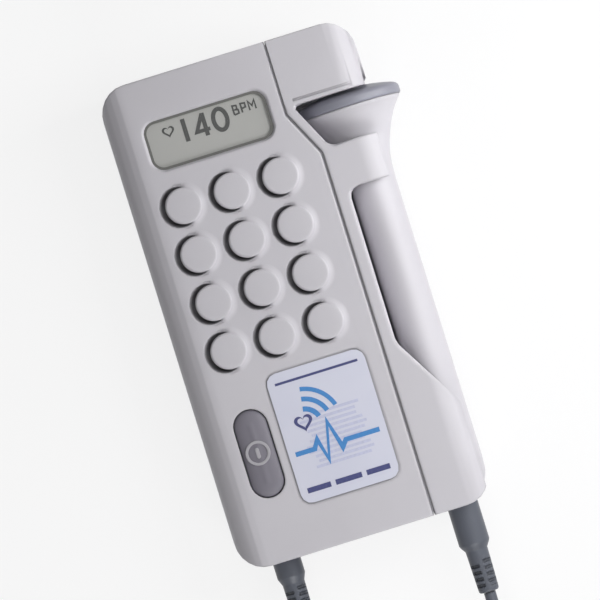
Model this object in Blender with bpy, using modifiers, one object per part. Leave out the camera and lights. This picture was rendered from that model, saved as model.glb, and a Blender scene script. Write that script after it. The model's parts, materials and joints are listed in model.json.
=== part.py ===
"""Pocket fetal doppler: a case with a display and speaker, and a probe docked in its side bay.

The unit lies on its flat back: x runs across it, y towards the display end, z out of its front.
All sizes are in metres. Places are measured from the middle of the case's back, and the frame
empty then moves everything so that the origin is under the middle of the whole unit.
"""

import math

import bmesh
import bpy
import numpy as np
from mathutils import Vector

for old in list(bpy.data.objects):
    bpy.data.objects.remove(old, do_unlink=True)

# Walls, clearances and fine steps
WALL = 0.0022
GAP = 0.0003
OVERRUN = 0.004
MERGE = 0.000002
TANGENT_SLACK = 0.00002

# Display
DISPLAY_WIDTH = 0.0366
DISPLAY_HEIGHT = 0.0152
DISPLAY_RADIUS = 0.0042
DISPLAY_SINK = 0.0008
DISPLAY_BEVEL = 0.0006
LENS_FLANGE = 0.0009
LENS_FLANGE_THICKNESS = 0.0011
LCD_SIDE_MARGIN = 0.0004
LCD_END_MARGIN = 0.0011
LCD_WIDTH = DISPLAY_WIDTH - 2 * LCD_SIDE_MARGIN
LCD_HEIGHT = DISPLAY_HEIGHT + 2 * LCD_END_MARGIN
LCD_THICKNESS = 0.0023
LCD_SEAL_STEP = 0.0010
LCD_SEAL_HEIGHT = 0.0004
FRAME_RIM = 0.0009
FRAME_FLOOR = 0.0015
FRAME_WINDOW_MARGIN = 0.0028
ZEBRA_WIDTH = 0.0016
DISPLAY_BOARD_THICKNESS = 0.0016
HEADER_LENGTH = 0.0220
HEADER_WIDTH = 0.0025

# Speaker and its outlet
DISC_COLUMNS = 3
DISC_ROWS = 4
DISC_PITCH = 0.0141
DISC_SPACING = 0.0035
DISC_RADIUS = (DISC_PITCH - DISC_SPACING) / 2
DISC_RISE = 0.0014
DISC_ROUND = 0.0008
DISC_SIDES = 18
LOUVRE_WIDTH = 0.0009
DISC_HOLE_RADIUS = DISC_RADIUS + LOUVRE_WIDTH
DISC_HOLE_SHIFT = 0.0006
SLOT_RADIUS = DISC_HOLE_RADIUS - GAP
SLOT_SHIFT = DISC_HOLE_SHIFT + GAP
GRILLE_THICKNESS = 0.0016
GRILLE_MARGIN = 0.0013
SPEAKER_RADIUS = 0.0190
SPEAKER_FLANGE = 0.0028
SPEAKER_RIM_HEIGHT = 0.0014
SPEAKER_DEPTH = 0.0067
SPEAKER_SKIN = 0.0010
SPEAKER_NECK_RADIUS = 0.0115
MAGNET_STEP = 0.0010
MAGNET_RADIUS = SPEAKER_NECK_RADIUS - MAGNET_STEP
MAGNET_HEIGHT = 0.0026
MAGNET_TO_BOARD = 0.0024
POLE_RADIUS = 0.0048
CONE_SKIN = 0.0007
DUST_CAP_RADIUS = 0.0045
DUST_CAP_RISE = 0.0012

# On/off button
BUTTON_WIDTH = 0.0093
BUTTON_LENGTH = 0.0249
BUTTON_RISE = 0.0006
BUTTON_ROUND = 0.0005
BUTTON_LIP = 0.0009
BUTTON_LIP_THICKNESS = 0.0008
BUTTON_GUIDE_WALL = 0.0012
BUTTON_GUIDE_DEPTH = 0.0053
BUTTON_TRAVEL = 0.0005
SYMBOL_RADIUS = 0.0035
SYMBOL_LINE = 0.0008
SYMBOL_DEPTH = 0.0002
PEG_RADIUS = 0.0008
SWITCH_BOARD_THICKNESS = 0.0013
SWITCH_BOARD_WIDTH = 0.0104
SWITCH_SIZE = 0.0060
SWITCH_HEIGHT = 0.0029
SWITCH_TO_BATTERY = 0.0004
PLUNGER_RADIUS = 0.0017
PLUNGER_WELL = 0.0020

# Label
LABEL_WIDTH = 0.0284
LABEL_HEIGHT = 0.0375
LABEL_RADIUS = 0.0030
LABEL_THICKNESS = 0.0004
LABEL_SINK = 0.0008

# Battery, its compartment and door
BATTERY_WIDTH = 0.0265
BATTERY_LENGTH = 0.0456
BATTERY_THICKNESS = 0.0175
BATTERY_ROUND = 0.0015
BATTERY_PLAY = 0.00075
TERMINAL_RADIUS = 0.0029
TERMINAL_HEIGHT = 0.0026
TERMINAL_SPREAD = 0.0127
SNAP_THICKNESS = 0.0038
SNAP_HEIGHT = 0.0120
COMPARTMENT_WALL = 0.0010
DOOR_SIDE_LEDGE = 0.0005
DOOR_WIDTH = BATTERY_WIDTH + 2 * (BATTERY_PLAY + DOOR_SIDE_LEDGE)
DOOR_TONGUE = 0.0010
DOOR_THICKNESS = 0.0014
DOOR_LIP = 0.0007
DOOR_OVERLAP = 0.0024
LEDGE_THICKNESS = 0.0015
DOOR_GRIP_COUNT = 4
DOOR_GRIP_PITCH = 0.0020
DOOR_GRIP_LENGTH = 0.0120
DOOR_GRIP_WIDTH = 0.0008
DOOR_GRIP_DEPTH = 0.0004

# Screw bosses in the case's corners
BOSS_RADIUS = 0.0032
BOSS_INSET = 0.0057
RIGHT_BOSS_INSET = 0.0046
LOW_BOSS_LEFT_INSET = 0.0120
LOW_BOSS_RIGHT_INSET = 0.0080

# Case depth, as its contents stack up from the back: door, battery, switch board and front wall
COMPARTMENT_LOW_Z = DOOR_THICKNESS + GAP
BATTERY_HIGH_Z = COMPARTMENT_LOW_Z + BATTERY_THICKNESS
COMPARTMENT_HIGH_Z = BATTERY_HIGH_Z + GAP + COMPARTMENT_WALL
SWITCH_BOARD_LOW_Z = COMPARTMENT_HIGH_Z + SWITCH_TO_BATTERY
SWITCH_BOARD_HIGH_Z = SWITCH_BOARD_LOW_Z + SWITCH_BOARD_THICKNESS
GUIDE_LOW_Z = SWITCH_BOARD_HIGH_Z + GAP
INNER_FRONT_Z = GUIDE_LOW_Z + BUTTON_GUIDE_DEPTH
CASE_DEPTH = INNER_FRONT_Z + WALL
MID_Z = CASE_DEPTH / 2

# Case length, from what the front shows between the display's end and the cable's end
DISCS_TO_FRAME = 0.0006
DISCS_TO_LABEL = 0.00975
LOW_MARGIN = 0.01335
FRAME_REACH = LCD_END_MARGIN + GAP + FRAME_RIM
TOP_MARGIN = BOSS_INSET + BOSS_RADIUS + GAP + FRAME_REACH
DISPLAY_TO_DISCS = FRAME_REACH + DISCS_TO_FRAME + DISC_HOLE_RADIUS + GRILLE_MARGIN
DISC_ROWS_LENGTH = (DISC_ROWS - 1) * DISC_PITCH
FACE_LENGTH = DISPLAY_HEIGHT + DISPLAY_TO_DISCS + DISC_ROWS_LENGTH + DISCS_TO_LABEL
CASE_LENGTH = TOP_MARGIN + FACE_LENGTH + LABEL_HEIGHT + LOW_MARGIN
HALF_LENGTH = CASE_LENGTH / 2

# Widths of the probe holder and of the jog that its head needs
HANDLE_HALF_WIDTH = 0.0064
HANDLE_SIDE_PLAY = 0.0012
BAY_SIDE_WALL = 0.0040
HEAD_SHYNESS = 0.0001
HEAD_SIDE_ROOM = 0.0031
HEAD_RADIUS = MID_Z - HEAD_SHYNESS
HOLDER_WIDTH = BAY_SIDE_WALL + HANDLE_SIDE_PLAY + 2 * HANDLE_HALF_WIDTH
SEAM_JOG = HEAD_RADIUS + HEAD_SIDE_ROOM + HANDLE_HALF_WIDTH - HOLDER_WIDTH

# Case width, from the widest of the display's row, the disc rows and the label's row
SIDE_RADIUS = 0.008
CORNER_RADIUS = 0.0085
RIM_RADIUS = 0.0018
FRAME_SIDE_PLAY = 0.00055
LEFT_MARGIN = 0.0147
DISCS_TO_SEAM = 0.0131
DISPLAY_MARGIN = 0.0093
BUTTON_MARGIN = 0.0097
BUTTON_TO_LABEL = 0.0030
LABEL_TO_SEAM = 0.0056
BUTTON_DROP = 0.00125
DISPLAY_TO_SEAM = WALL + GAP / 2 + FRAME_SIDE_PLAY + FRAME_RIM + GAP - LCD_SIDE_MARGIN
DISPLAY_ROW = DISPLAY_MARGIN + DISPLAY_WIDTH + DISPLAY_TO_SEAM + SEAM_JOG
DISC_ROW = LEFT_MARGIN + (DISC_COLUMNS - 1) * DISC_PITCH + DISCS_TO_SEAM
LABEL_ROW = BUTTON_MARGIN + BUTTON_WIDTH + BUTTON_TO_LABEL + LABEL_WIDTH + LABEL_TO_SEAM
CASE_WIDTH = max(DISPLAY_ROW, DISC_ROW, LABEL_ROW) + HOLDER_WIDTH
HALF_WIDTH = CASE_WIDTH / 2

# Places of what the front shows
DISPLAY_X = DISPLAY_MARGIN + DISPLAY_WIDTH / 2 - HALF_WIDTH
DISPLAY_Y = HALF_LENGTH - TOP_MARGIN - DISPLAY_HEIGHT / 2
DISC_FIRST_X = LEFT_MARGIN - HALF_WIDTH
DISC_FIRST_Y = HALF_LENGTH - TOP_MARGIN - DISPLAY_HEIGHT - DISPLAY_TO_DISCS
LABEL_Y = LOW_MARGIN + LABEL_HEIGHT / 2 - HALF_LENGTH
BUTTON_X = BUTTON_MARGIN + BUTTON_WIDTH / 2 - HALF_WIDTH
BUTTON_Y = LABEL_Y - BUTTON_DROP
LABEL_X = BUTTON_X + BUTTON_WIDTH / 2 + BUTTON_TO_LABEL + LABEL_WIDTH / 2

# Jogged seam between the case and the probe holder
SEAM_JOG_LENGTH = 0.0130
SEAM_TO_DISCS = 0.0027
SEAM_LOW_X = HALF_WIDTH - HOLDER_WIDTH
SEAM_TOP_X = SEAM_LOW_X - SEAM_JOG
SEAM_LOW_Y = DISC_FIRST_Y + SEAM_TO_DISCS
SEAM_TOP_Y = SEAM_LOW_Y + SEAM_JOG_LENGTH

# Places of the battery and its door
BATTERY_TO_SEAM = 0.01015
BATTERY_END_MARGIN = 0.0051
BATTERY_X = SEAM_LOW_X - BATTERY_TO_SEAM - BATTERY_WIDTH / 2
BATTERY_LOW_Y = BATTERY_END_MARGIN - HALF_LENGTH
COMPARTMENT_TOP_Y = BATTERY_LOW_Y + BATTERY_LENGTH + SNAP_THICKNESS + 2 * GAP
DOOR_LOW_Y = GAP - HALF_LENGTH
DOOR_TOP_Y = COMPARTMENT_TOP_Y + DOOR_OVERLAP

# Levels of the display and the speaker, from the front down
GRILLE_HIGH_Z = INNER_FRONT_Z - GAP
GRILLE_LOW_Z = GRILLE_HIGH_Z - GRILLE_THICKNESS
LENS_FLANGE_HIGH_Z = INNER_FRONT_Z - GAP
LENS_FLANGE_LOW_Z = LENS_FLANGE_HIGH_Z - LENS_FLANGE_THICKNESS
LCD_HIGH_Z = LENS_FLANGE_LOW_Z - GAP
LCD_LOW_Z = LCD_HIGH_Z - LCD_THICKNESS
FRAME_FLOOR_HIGH_Z = LCD_LOW_Z - GAP
FRAME_LOW_Z = FRAME_FLOOR_HIGH_Z - FRAME_FLOOR
DISPLAY_BOARD_HIGH_Z = FRAME_LOW_Z - GAP
DISPLAY_BOARD_LOW_Z = DISPLAY_BOARD_HIGH_Z - DISPLAY_BOARD_THICKNESS

# Main board and what stands on it
BOARD_THICKNESS = 0.0016
BOARD_HIGH_Z = GRILLE_LOW_Z - GAP - SPEAKER_DEPTH - GAP - MAGNET_HEIGHT - MAGNET_TO_BOARD
BOARD_LOW_Z = BOARD_HIGH_Z - BOARD_THICKNESS
BOARD_TO_COMPARTMENT = 0.0015
BOARD_MARGIN = 0.0006
BOARD_BOTTOM_Y = COMPARTMENT_TOP_Y + COMPARTMENT_WALL + BOARD_TO_COMPARTMENT
TONGUE_MARGIN = 0.0009
BOARD_TONGUE_LEFT_X = BOSS_INSET + BOSS_RADIUS + TONGUE_MARGIN - HALF_WIDTH
BOARD_TONGUE_RIGHT_X = SEAM_TOP_X - RIGHT_BOSS_INSET - BOSS_RADIUS - TONGUE_MARGIN
BOARD_SHOULDER_Y = HALF_LENGTH - BOSS_INSET - BOSS_RADIUS - BOARD_MARGIN
BOARD_TOP_GAP = 0.0009
PROCESSOR_SIZE = 0.0100
PROCESSOR_HEIGHT = 0.0014
PROCESSOR_INSET = 0.0150
PROCESSOR_DROP = 0.0149
PROCESSOR_X = PROCESSOR_INSET - HALF_WIDTH
PROCESSOR_Y = DISPLAY_Y - PROCESSOR_DROP
AMPLIFIER_WIDTH = 0.0050
AMPLIFIER_LENGTH = 0.0060
AMPLIFIER_INSET = 0.0086
AMPLIFIER_DROP = 0.0129
AMPLIFIER_X = SEAM_TOP_X - AMPLIFIER_INSET
AMPLIFIER_Y = DISPLAY_Y - AMPLIFIER_DROP
CLOCK_WIDTH = 0.0110
CLOCK_LENGTH = 0.0042
CLOCK_HEIGHT = 0.0032
CLOCK_INSET = 0.0130
CLOCK_DROP = 0.0009
CLOCK_X = CLOCK_INSET - HALF_WIDTH
CLOCK_Y = DISPLAY_Y - CLOCK_DROP
SHIELD_WIDTH = 0.0220
SHIELD_LENGTH = 0.0180
SHIELD_HEIGHT = 0.0040
SHIELD_INSET = 0.0240
SHIELD_RISE = 0.0304
SHIELD_X = SHIELD_INSET - HALF_WIDTH
SHIELD_Y = BOARD_BOTTOM_Y + SHIELD_RISE
PROBE_HEADER_WIDTH = 0.0080
PROBE_HEADER_LENGTH = 0.0050
PROBE_HEADER_HEIGHT = 0.0055
PROBE_HEADER_RISE = 0.0036
PROBE_HEADER_Y = BOARD_BOTTOM_Y + PROBE_HEADER_RISE

# Screws
SCREW_HEAD_RADIUS = 0.0021
SCREW_HEAD_HEIGHT = 0.0018
SCREW_SHANK_RADIUS = 0.0011
SCREW_SINK = 0.0050
SCREW_TIP_COVER = 0.0080
SCREW_LENGTH = CASE_DEPTH - SCREW_TIP_COVER - SCREW_SINK
SCREW_SLOT = 0.0006
POST_RADIUS = 0.0021
POST_INSET = 0.0033
SMALL_HEAD_RADIUS = 0.0016
SMALL_HEAD_HEIGHT = 0.0011
SMALL_SHANK_RADIUS = 0.0007
SMALL_SCREW_LENGTH = 0.0070
HOLDER_SCREW_Z = 0.0080
HOLDER_SCREW_LENGTH = 0.0056
HOLDER_SCREW_DROP = 0.0520
HOLDER_SCREW_RISE = 0.0300
HOLDER_SCREW_UP_Y = HALF_LENGTH - HOLDER_SCREW_DROP
HOLDER_SCREW_LOW_Y = HOLDER_SCREW_RISE - HALF_LENGTH

# Volume wheel and headphone socket in the top end
WHEEL_RADIUS = 0.0078
WHEEL_THICKNESS = 0.0030
WHEEL_RIDGES = 24
WHEEL_RIDGE_DEPTH = 0.0004
WHEEL_RIM_SINK = 0.0002
WHEEL_BOARD_GAP = 0.0006
WHEEL_SHAFT_RADIUS = 0.0020
POT_SIZE = 0.0100
POT_HEIGHT = 0.0036
POT_WELL = 0.0026
SCOOP_WIDTH = 0.0130
SCOOP_SINK = 0.0010
JACK_WIDTH = 0.0060
JACK_HEIGHT = 0.0050
JACK_LENGTH = 0.0115
JACK_NOSE_RADIUS = 0.0026
JACK_NOSE_SINK = 0.0003
JACK_BORE_RADIUS = 0.0018
JACK_BORE_DEPTH = 0.0100
JACK_TO_BOSS = 0.0014
WHEEL_TO_JACK = 0.0016
JACK_X = SEAM_TOP_X - RIGHT_BOSS_INSET - BOSS_RADIUS - JACK_TO_BOSS - JACK_WIDTH / 2
WHEEL_X = JACK_X - JACK_WIDTH / 2 - WHEEL_TO_JACK - WHEEL_RADIUS

# Probe head, and the pocket that it lies in
HEAD_DROP = 0.0027
HEAD_TOP_PLAY = 0.0011
FACE_EDGE_HEIGHT = 0.0031
FACE_DOME_HEIGHT = 0.0023
FACE_ROUND = 0.0008
POCKET_HEIGHT = 0.0156
POCKET_SIDE_WALL = 0.0028
POCKET_CORNER = 0.0012
POCKET_WALL = 0.0013
POCKET_LIP = 0.0011
LIP_GROOVE = 0.0008
PROBE_X = HALF_WIDTH - HANDLE_HALF_WIDTH
FACE_LOW_Y = SEAM_TOP_Y - HEAD_DROP
FACE_EDGE_Y = FACE_LOW_Y + FACE_EDGE_HEIGHT
FACE_TOP_Y = FACE_EDGE_Y + FACE_DOME_HEIGHT
POCKET_TOP_Y = FACE_TOP_Y + HEAD_TOP_PLAY
POCKET_LOW_Y = POCKET_TOP_Y - POCKET_HEIGHT
POCKET_LEFT_X = SEAM_TOP_X + POCKET_SIDE_WALL
LIP_TOP_Y = POCKET_TOP_Y - LIP_GROOVE
LIP_LOW_Y = LIP_TOP_Y - POCKET_LIP
POCKET_LEFT_Y = LIP_LOW_Y - POCKET_CORNER

# Bay that the probe's handle lies in, and its finger recess
FREE_EDGE_INSET = 0.0018
BAY_FRONT_WALL = 0.0045
BAY_END_WALL = 0.0030
BAND_LENGTH = 0.0127
RECESS_LENGTH = 0.0450
RECESS_SLANT = 0.0208
RECESS_CORNER = 0.0030
CABLE_SLOT_PLAY = 0.0003
FREE_EDGE_X = HALF_WIDTH - FREE_EDGE_INSET
BAY_LEFT_X = SEAM_LOW_X + BAY_SIDE_WALL
RECESS_TOP_Y = POCKET_LOW_Y - BAND_LENGTH
RECESS_LOW_LEFT_Y = RECESS_TOP_Y - RECESS_LENGTH
RECESS_LOW_RIGHT_Y = RECESS_LOW_LEFT_Y - RECESS_SLANT

# Probe handle and what is inside the probe
HANDLE_END_PLAY = 0.0005
HANDLE_SIDES = 24
HANDLE_TOP_SPREAD = 0.0006
HANDLE_FOOT = 0.0105
PROBE_SKIN = 0.0018
FLARE_LENGTH = 0.0098
NECK_RADIUS = 0.0088
WAIST_LENGTH = 0.0051
BOOT_OFFSET = 0.0030
CRYSTAL_INSET = 0.0037
CRYSTAL_THICKNESS = 0.0010
CRYSTAL_SPLIT = 0.0010
BACKING_THICKNESS = 0.0040
PROBE_BOARD_DROP = 0.0161
PROBE_BOARD_LENGTH = 0.0500
PROBE_BOARD_THICKNESS = 0.0012
PROBE_BOARD_PLAY = 0.0005
HANDLE_HALF_DEPTH = MID_Z - BAY_FRONT_WALL - GAP
HANDLE_LOW_Y = BAY_END_WALL + HANDLE_END_PLAY - HALF_LENGTH
NECK_Y = FACE_LOW_Y - FLARE_LENGTH
WAIST_Y = NECK_Y - WAIST_LENGTH
BOOT_X = PROBE_X - BOOT_OFFSET
HOLLOW_LOW_Y = HANDLE_LOW_Y + HANDLE_FOOT
CRYSTAL_RADIUS = HEAD_RADIUS - CRYSTAL_INSET
PROBE_BOARD_TOP_Y = NECK_Y - PROBE_BOARD_DROP
PROBE_BOARD_LOW_Y = PROBE_BOARD_TOP_Y - PROBE_BOARD_LENGTH
PROBE_BOARD_HALF_WIDTH = HANDLE_HALF_DEPTH - PROBE_SKIN - PROBE_BOARD_PLAY

# Strain reliefs and the cable
CABLE_RADIUS = 0.0017
UNIT_BOOT_RADIUS = 0.0041
UNIT_BOOT_NECK_RADIUS = 0.0036
UNIT_BOOT_FLANGE_RADIUS = 0.0047
UNIT_BOOT_FLANGE_THICKNESS = 0.0018
UNIT_BOOT_PLAIN_LENGTH = 0.0055
UNIT_BOOT_PLAY = 0.0004
COMPARTMENT_LEFT_X = BATTERY_X - BATTERY_WIDTH / 2 - BATTERY_PLAY - COMPARTMENT_WALL
UNIT_BOOT_X = COMPARTMENT_LEFT_X - UNIT_BOOT_PLAY - UNIT_BOOT_FLANGE_RADIUS
PROBE_BOOT_RADIUS = 0.0045
PROBE_BOOT_PLAIN_LENGTH = 0.0153
PROBE_BOOT_SPIGOT_RADIUS = 0.0028
PROBE_BOOT_SPIGOT_LENGTH = 0.0040
BOOT_SLEEVE_RADIUS = 0.0032
BOOT_TIP_RADIUS = 0.0029
BOOT_CHAMFER_LENGTH = 0.0016
BOOT_REACH = 0.0260
BOOT_END_Y = -HALF_LENGTH - BOOT_REACH
BOOT_SLOT_PITCH = 0.0021
BOOT_SLOT_WIDTH = 0.0009
BOOT_SLOT_DEPTH = 0.0007
BOOT_SIDES = 14
CURL_RADIUS = 0.0048
CURL_PITCH = 0.0051
CURL_POINTS = 8
CURL_GROWTH = 0.0100
COIL_START = 0.0200
LEAD_STEP = 0.0030
COIL_SELF_GAP = 0.0004
LEAD_RADIUS = 0.0015

# How finely the roundings are stepped, and the middle of the whole unit
LARGE_ROUND_STEPS = 6
SMALL_ROUND_STEPS = 3
CENTRE_X = (PROBE_X + HEAD_RADIUS - HALF_WIDTH) / 2
CENTRE_Y = (HALF_LENGTH + BOOT_END_Y) / 2

# The cable's route over the table, from the probe's strain relief round to the unit's
CORD_ROUTE = [
    (0.0276, -0.0963, 0.0150),
    (0.0276, -0.1010, 0.0150),
    (0.0281, -0.1080, 0.0128),
    (0.0295, -0.1160, 0.0085),
    (0.0309, -0.1260, 0.0069),
    (0.0318, -0.1400, 0.0066),
    (0.0322, -0.1570, 0.0066),
    (0.0282, -0.1722, 0.0066),
    (0.0170, -0.1834, 0.0066),
    (0.0017, -0.1875, 0.0066),
    (-0.0135, -0.1834, 0.0066),
    (-0.0247, -0.1722, 0.0066),
    (-0.0288, -0.1570, 0.0066),
    (-0.0284, -0.1400, 0.0066),
    (-0.0275, -0.1260, 0.0069),
    (-0.0262, -0.1160, 0.0085),
    (-0.0250, -0.1080, 0.0128),
    (-0.0245, -0.1010, 0.0150),
    (-0.0245, -0.0963, 0.0150),
]

# The cable inside the case, from its strain relief to the header on the board
LEAD_ROUTE = [
    (-0.0245, -0.0651, 0.0150),
    (-0.0245, -0.0600, 0.0148),
    (-0.0245, -0.0480, 0.0110),
    (-0.0246, -0.0340, 0.0080),
    (-0.0244, -0.0220, 0.0078),
    (-0.0242, -0.0160, 0.0078),
    (-0.0242, -0.0116, 0.0078),
]

# Shares of the handle's height, from its lower end to its neck, and its half widths there
HANDLE_HEIGHT_SHARES = [0.0, 0.04, 0.10, 0.18, 0.35, 0.62, 0.86, 0.95]
HANDLE_WIDTH_SHARES = [0.97, 1.055, 1.07, 1.07, 1.07, 1.07, 1.07, 1.07]
HANDLE_DEPTH_SHARES = [0.52, 0.72, 0.88, 0.97, 1.0, 1.0, 1.0, 0.98]
HANDLE_LEAN_SHARES = [0.37, 0.185, 0.15, 0.15, 0.15, 0.15, 0.15, 0.12]

# Shares of the probe face's radius at which its dome has a ring
DOME_RING_SHARES = [0.0, 0.3, 0.6, 0.85]

# Colours and finishes: red, green, blue, roughness, metallic
CASE_GREY = (0.56, 0.55, 0.56, 0.45, 0.0)
BUTTON_GREY = (0.20, 0.19, 0.23, 0.55, 0.0)
FACE_BLUE = (0.28, 0.30, 0.38, 0.40, 0.0)
LENS_CLEAR = (0.62, 0.66, 0.62, 0.10, 0.0)
LCD_GREEN = (0.36, 0.38, 0.34, 0.30, 0.0)
LABEL_LAVENDER = (0.62, 0.64, 0.78, 0.50, 0.0)
DARK_RUBBER = (0.09, 0.09, 0.11, 0.60, 0.0)
BLACK_PLASTIC = (0.03, 0.03, 0.03, 0.50, 0.0)
BOARD_GREEN = (0.03, 0.17, 0.07, 0.45, 0.0)
STEEL = (0.60, 0.60, 0.62, 0.30, 1.0)
BRASS = (0.72, 0.55, 0.25, 0.35, 1.0)
CERAMIC = (0.75, 0.70, 0.60, 0.50, 0.0)
FOAM = (0.35, 0.30, 0.22, 0.90, 0.0)
CONE_PAPER = (0.10, 0.10, 0.11, 0.85, 0.0)
BATTERY_SKIN = (0.12, 0.12, 0.14, 0.35, 0.3)


def new_collection(name):
    """A collection linked to the scene."""
    group = bpy.data.collections.new(name)
    bpy.context.scene.collection.children.link(group)
    return group


def new_empty(name, place, parent=None):
    """An empty that carries other objects, at a place in the case's own coordinates."""
    empty = bpy.data.objects.new(name, None)
    empty.location = place
    empty.parent = parent
    parts.objects.link(empty)
    return empty


parts = new_collection("fetal_doppler_monitor")
cutters = new_collection("cutters")
unit_frame = new_empty("unit_frame", (-CENTRE_X, -CENTRE_Y, 0.0))
probe_frame = new_empty("probe_frame", (PROBE_X, 0.0, MID_Z), unit_frame)


def tool_from_mesh(name, mesh):
    """A working shape in the cutters' collection, hidden from renders."""
    shape = bpy.data.objects.new(name, mesh)
    shape.parent = unit_frame
    shape.hide_render = True
    shape.display_type = "WIRE"
    cutters.objects.link(shape)
    return shape


def tool_from_bmesh(name, shape_mesh):
    """A working shape from a bmesh, which is freed."""
    mesh = bpy.data.meshes.new(name)
    shape_mesh.to_mesh(mesh)
    shape_mesh.free()
    return tool_from_mesh(name, mesh)


def new_material(name, finish):
    """A Principled material from a colour, a roughness and a metallic value."""
    red, green, blue, roughness, metallic = finish
    material = bpy.data.materials.new(name)
    material.use_nodes = True
    shader = material.node_tree.nodes["Principled BSDF"]
    shader.inputs["Base Color"].default_value = (red, green, blue, 1.0)
    shader.inputs["Roughness"].default_value = roughness
    shader.inputs["Metallic"].default_value = metallic
    material.diffuse_color = (red, green, blue, 1.0)
    return material


def as_part(shape, name, finish, origin=None, parent=None):
    """Turn a working shape into a named piece with its material and, if given, its origin."""
    shape.name = name
    shape.data.name = name
    cutters.objects.unlink(shape)
    parts.objects.link(shape)
    shape.hide_render = False
    shape.display_type = "TEXTURED"
    shape.data.materials.clear()
    shape.data.materials.append(new_material(name, finish))
    if origin is not None:
        offset = Vector(origin)
        for vertex in shape.data.vertices:
            vertex.co -= offset
        shape.location = shape.location + offset
    if parent is not None:
        shape.parent = parent
        shape.location = shape.location - parent.location
    return shape


def combine(target, tool, operation):
    """Add a Boolean with another shape to a shape."""
    boolean = target.modifiers.new(tool.name, "BOOLEAN")
    boolean.operation = operation
    boolean.solver = "EXACT"
    boolean.object = tool
    return target


def carve(target, *tools):
    """Cut shapes out of a shape."""
    for tool in tools:
        combine(target, tool, "DIFFERENCE")
    return target


def attach(target, *tools):
    """Join shapes to a shape."""
    for tool in tools:
        combine(target, tool, "UNION")
    return target


def keep(target, *tools):
    """Keep only what a shape shares with others."""
    for tool in tools:
        combine(target, tool, "INTERSECT")
    return target


def round_edges(shape, width, segments=2):
    """Round a shape's sharp edges."""
    bevel = shape.modifiers.new("rounding", "BEVEL")
    bevel.width = width
    bevel.segments = segments
    bevel.limit_method = "ANGLE"
    bevel.angle_limit = math.radians(40.0)
    return shape


def box(name, low, high):
    """A box between two corners."""
    shape_mesh = bmesh.new()
    bmesh.ops.create_cube(shape_mesh, size=1.0)
    for vertex in shape_mesh.verts:
        for axis in range(3):
            vertex.co[axis] = low[axis] + (vertex.co[axis] + 0.5) * (high[axis] - low[axis])
    return tool_from_bmesh(name, shape_mesh)


def box_around(name, centre_x, centre_y, width, length, low, high):
    """A box given by its middle and size in x and y, and by its levels."""
    return box(
        name,
        (centre_x - width / 2, centre_y - length / 2, low),
        (centre_x + width / 2, centre_y + length / 2, high),
    )


def add_rod(shape_mesh, start, end, radius, sides, end_radius=None):
    """Add a closed cylinder or cone between two points to a bmesh."""
    start = Vector(start)
    end = Vector(end)
    run = end - start
    turn = Vector((0.0, 0.0, 1.0)).rotation_difference(run).to_matrix().to_4x4()
    turn.translation = (start + end) / 2
    far_radius = radius if end_radius is None else end_radius
    bmesh.ops.create_cone(
        shape_mesh,
        cap_ends=True,
        segments=sides,
        radius1=radius,
        radius2=far_radius,
        depth=run.length,
        matrix=turn,
    )


def rod(name, start, end, radius, sides=16, end_radius=None):
    """A closed cylinder or cone between two points."""
    shape_mesh = bmesh.new()
    add_rod(shape_mesh, start, end, radius, sides, end_radius)
    return tool_from_bmesh(name, shape_mesh)


def rods(name, places, radius, low, high, sides=16, top_round=0.0):
    """Upright closed cylinders at several places, as one shape, with rounded tops if wanted."""
    shape_mesh = bmesh.new()
    for x, y in places:
        add_rod(shape_mesh, (x, y, low), (x, y, high), radius, sides)
    if top_round:
        rims = [
            edge for edge in shape_mesh.edges
            if all(abs(vertex.co.z - high) < MERGE for vertex in edge.verts)
        ]
        bmesh.ops.bevel(shape_mesh, geom=rims, offset=top_round, segments=2, profile=0.5,
                        affect="EDGES")
    return tool_from_bmesh(name, shape_mesh)


def mesh_from_curve(curve_object):
    """A welded mesh in place of a curve object, which is removed."""
    graph = bpy.context.evaluated_depsgraph_get()
    mesh = bpy.data.meshes.new_from_object(curve_object.evaluated_get(graph))
    mesh.transform(curve_object.matrix_world)
    bpy.data.objects.remove(curve_object, do_unlink=True)
    shape_mesh = bmesh.new()
    shape_mesh.from_mesh(mesh)
    bmesh.ops.remove_doubles(shape_mesh, verts=shape_mesh.verts, dist=MERGE)
    bmesh.ops.recalc_face_normals(shape_mesh, faces=shape_mesh.faces)
    shape_mesh.to_mesh(mesh)
    shape_mesh.free()
    return mesh


def prism(name, outline, low, high, upright=False):
    """A flat outline given thickness: between two levels, or upright between two places in y."""
    curve = bpy.data.curves.new(name, "CURVE")
    curve.dimensions = "2D"
    curve.fill_mode = "BOTH"
    curve.extrude = (high - low) / 2
    spline = curve.splines.new("POLY")
    spline.points.add(len(outline) - 1)
    for point, (across, along) in zip(spline.points, outline):
        point.co = (across, along, 0.0, 1.0)
    spline.use_cyclic_u = True
    flat = bpy.data.objects.new(name, curve)
    cutters.objects.link(flat)
    if upright:
        flat.rotation_euler = (math.radians(90.0), 0.0, 0.0)
        flat.location = (0.0, (low + high) / 2, 0.0)
    else:
        flat.location = (0.0, 0.0, (low + high) / 2)
    bpy.context.view_layer.update()
    return tool_from_mesh(name, mesh_from_curve(flat))


def turned(name, profile, base, direction, steps=20):
    """A profile of radius and height turned about an axis that starts at the base."""
    mesh = bpy.data.meshes.new(name)
    points = [(radius, 0.0, height) for radius, height in profile]
    edges = [(index, index + 1) for index in range(len(points) - 1)]
    mesh.from_pydata(points, edges, [])
    shape = tool_from_mesh(name, mesh)
    shape.location = base
    turn = Vector((0.0, 0.0, 1.0)).rotation_difference(Vector(direction))
    shape.rotation_euler = turn.to_euler()
    screw = shape.modifiers.new("turning", "SCREW")
    screw.steps = steps
    screw.render_steps = steps
    screw.use_merge_vertices = True
    screw.merge_threshold = MERGE
    return shape


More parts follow.
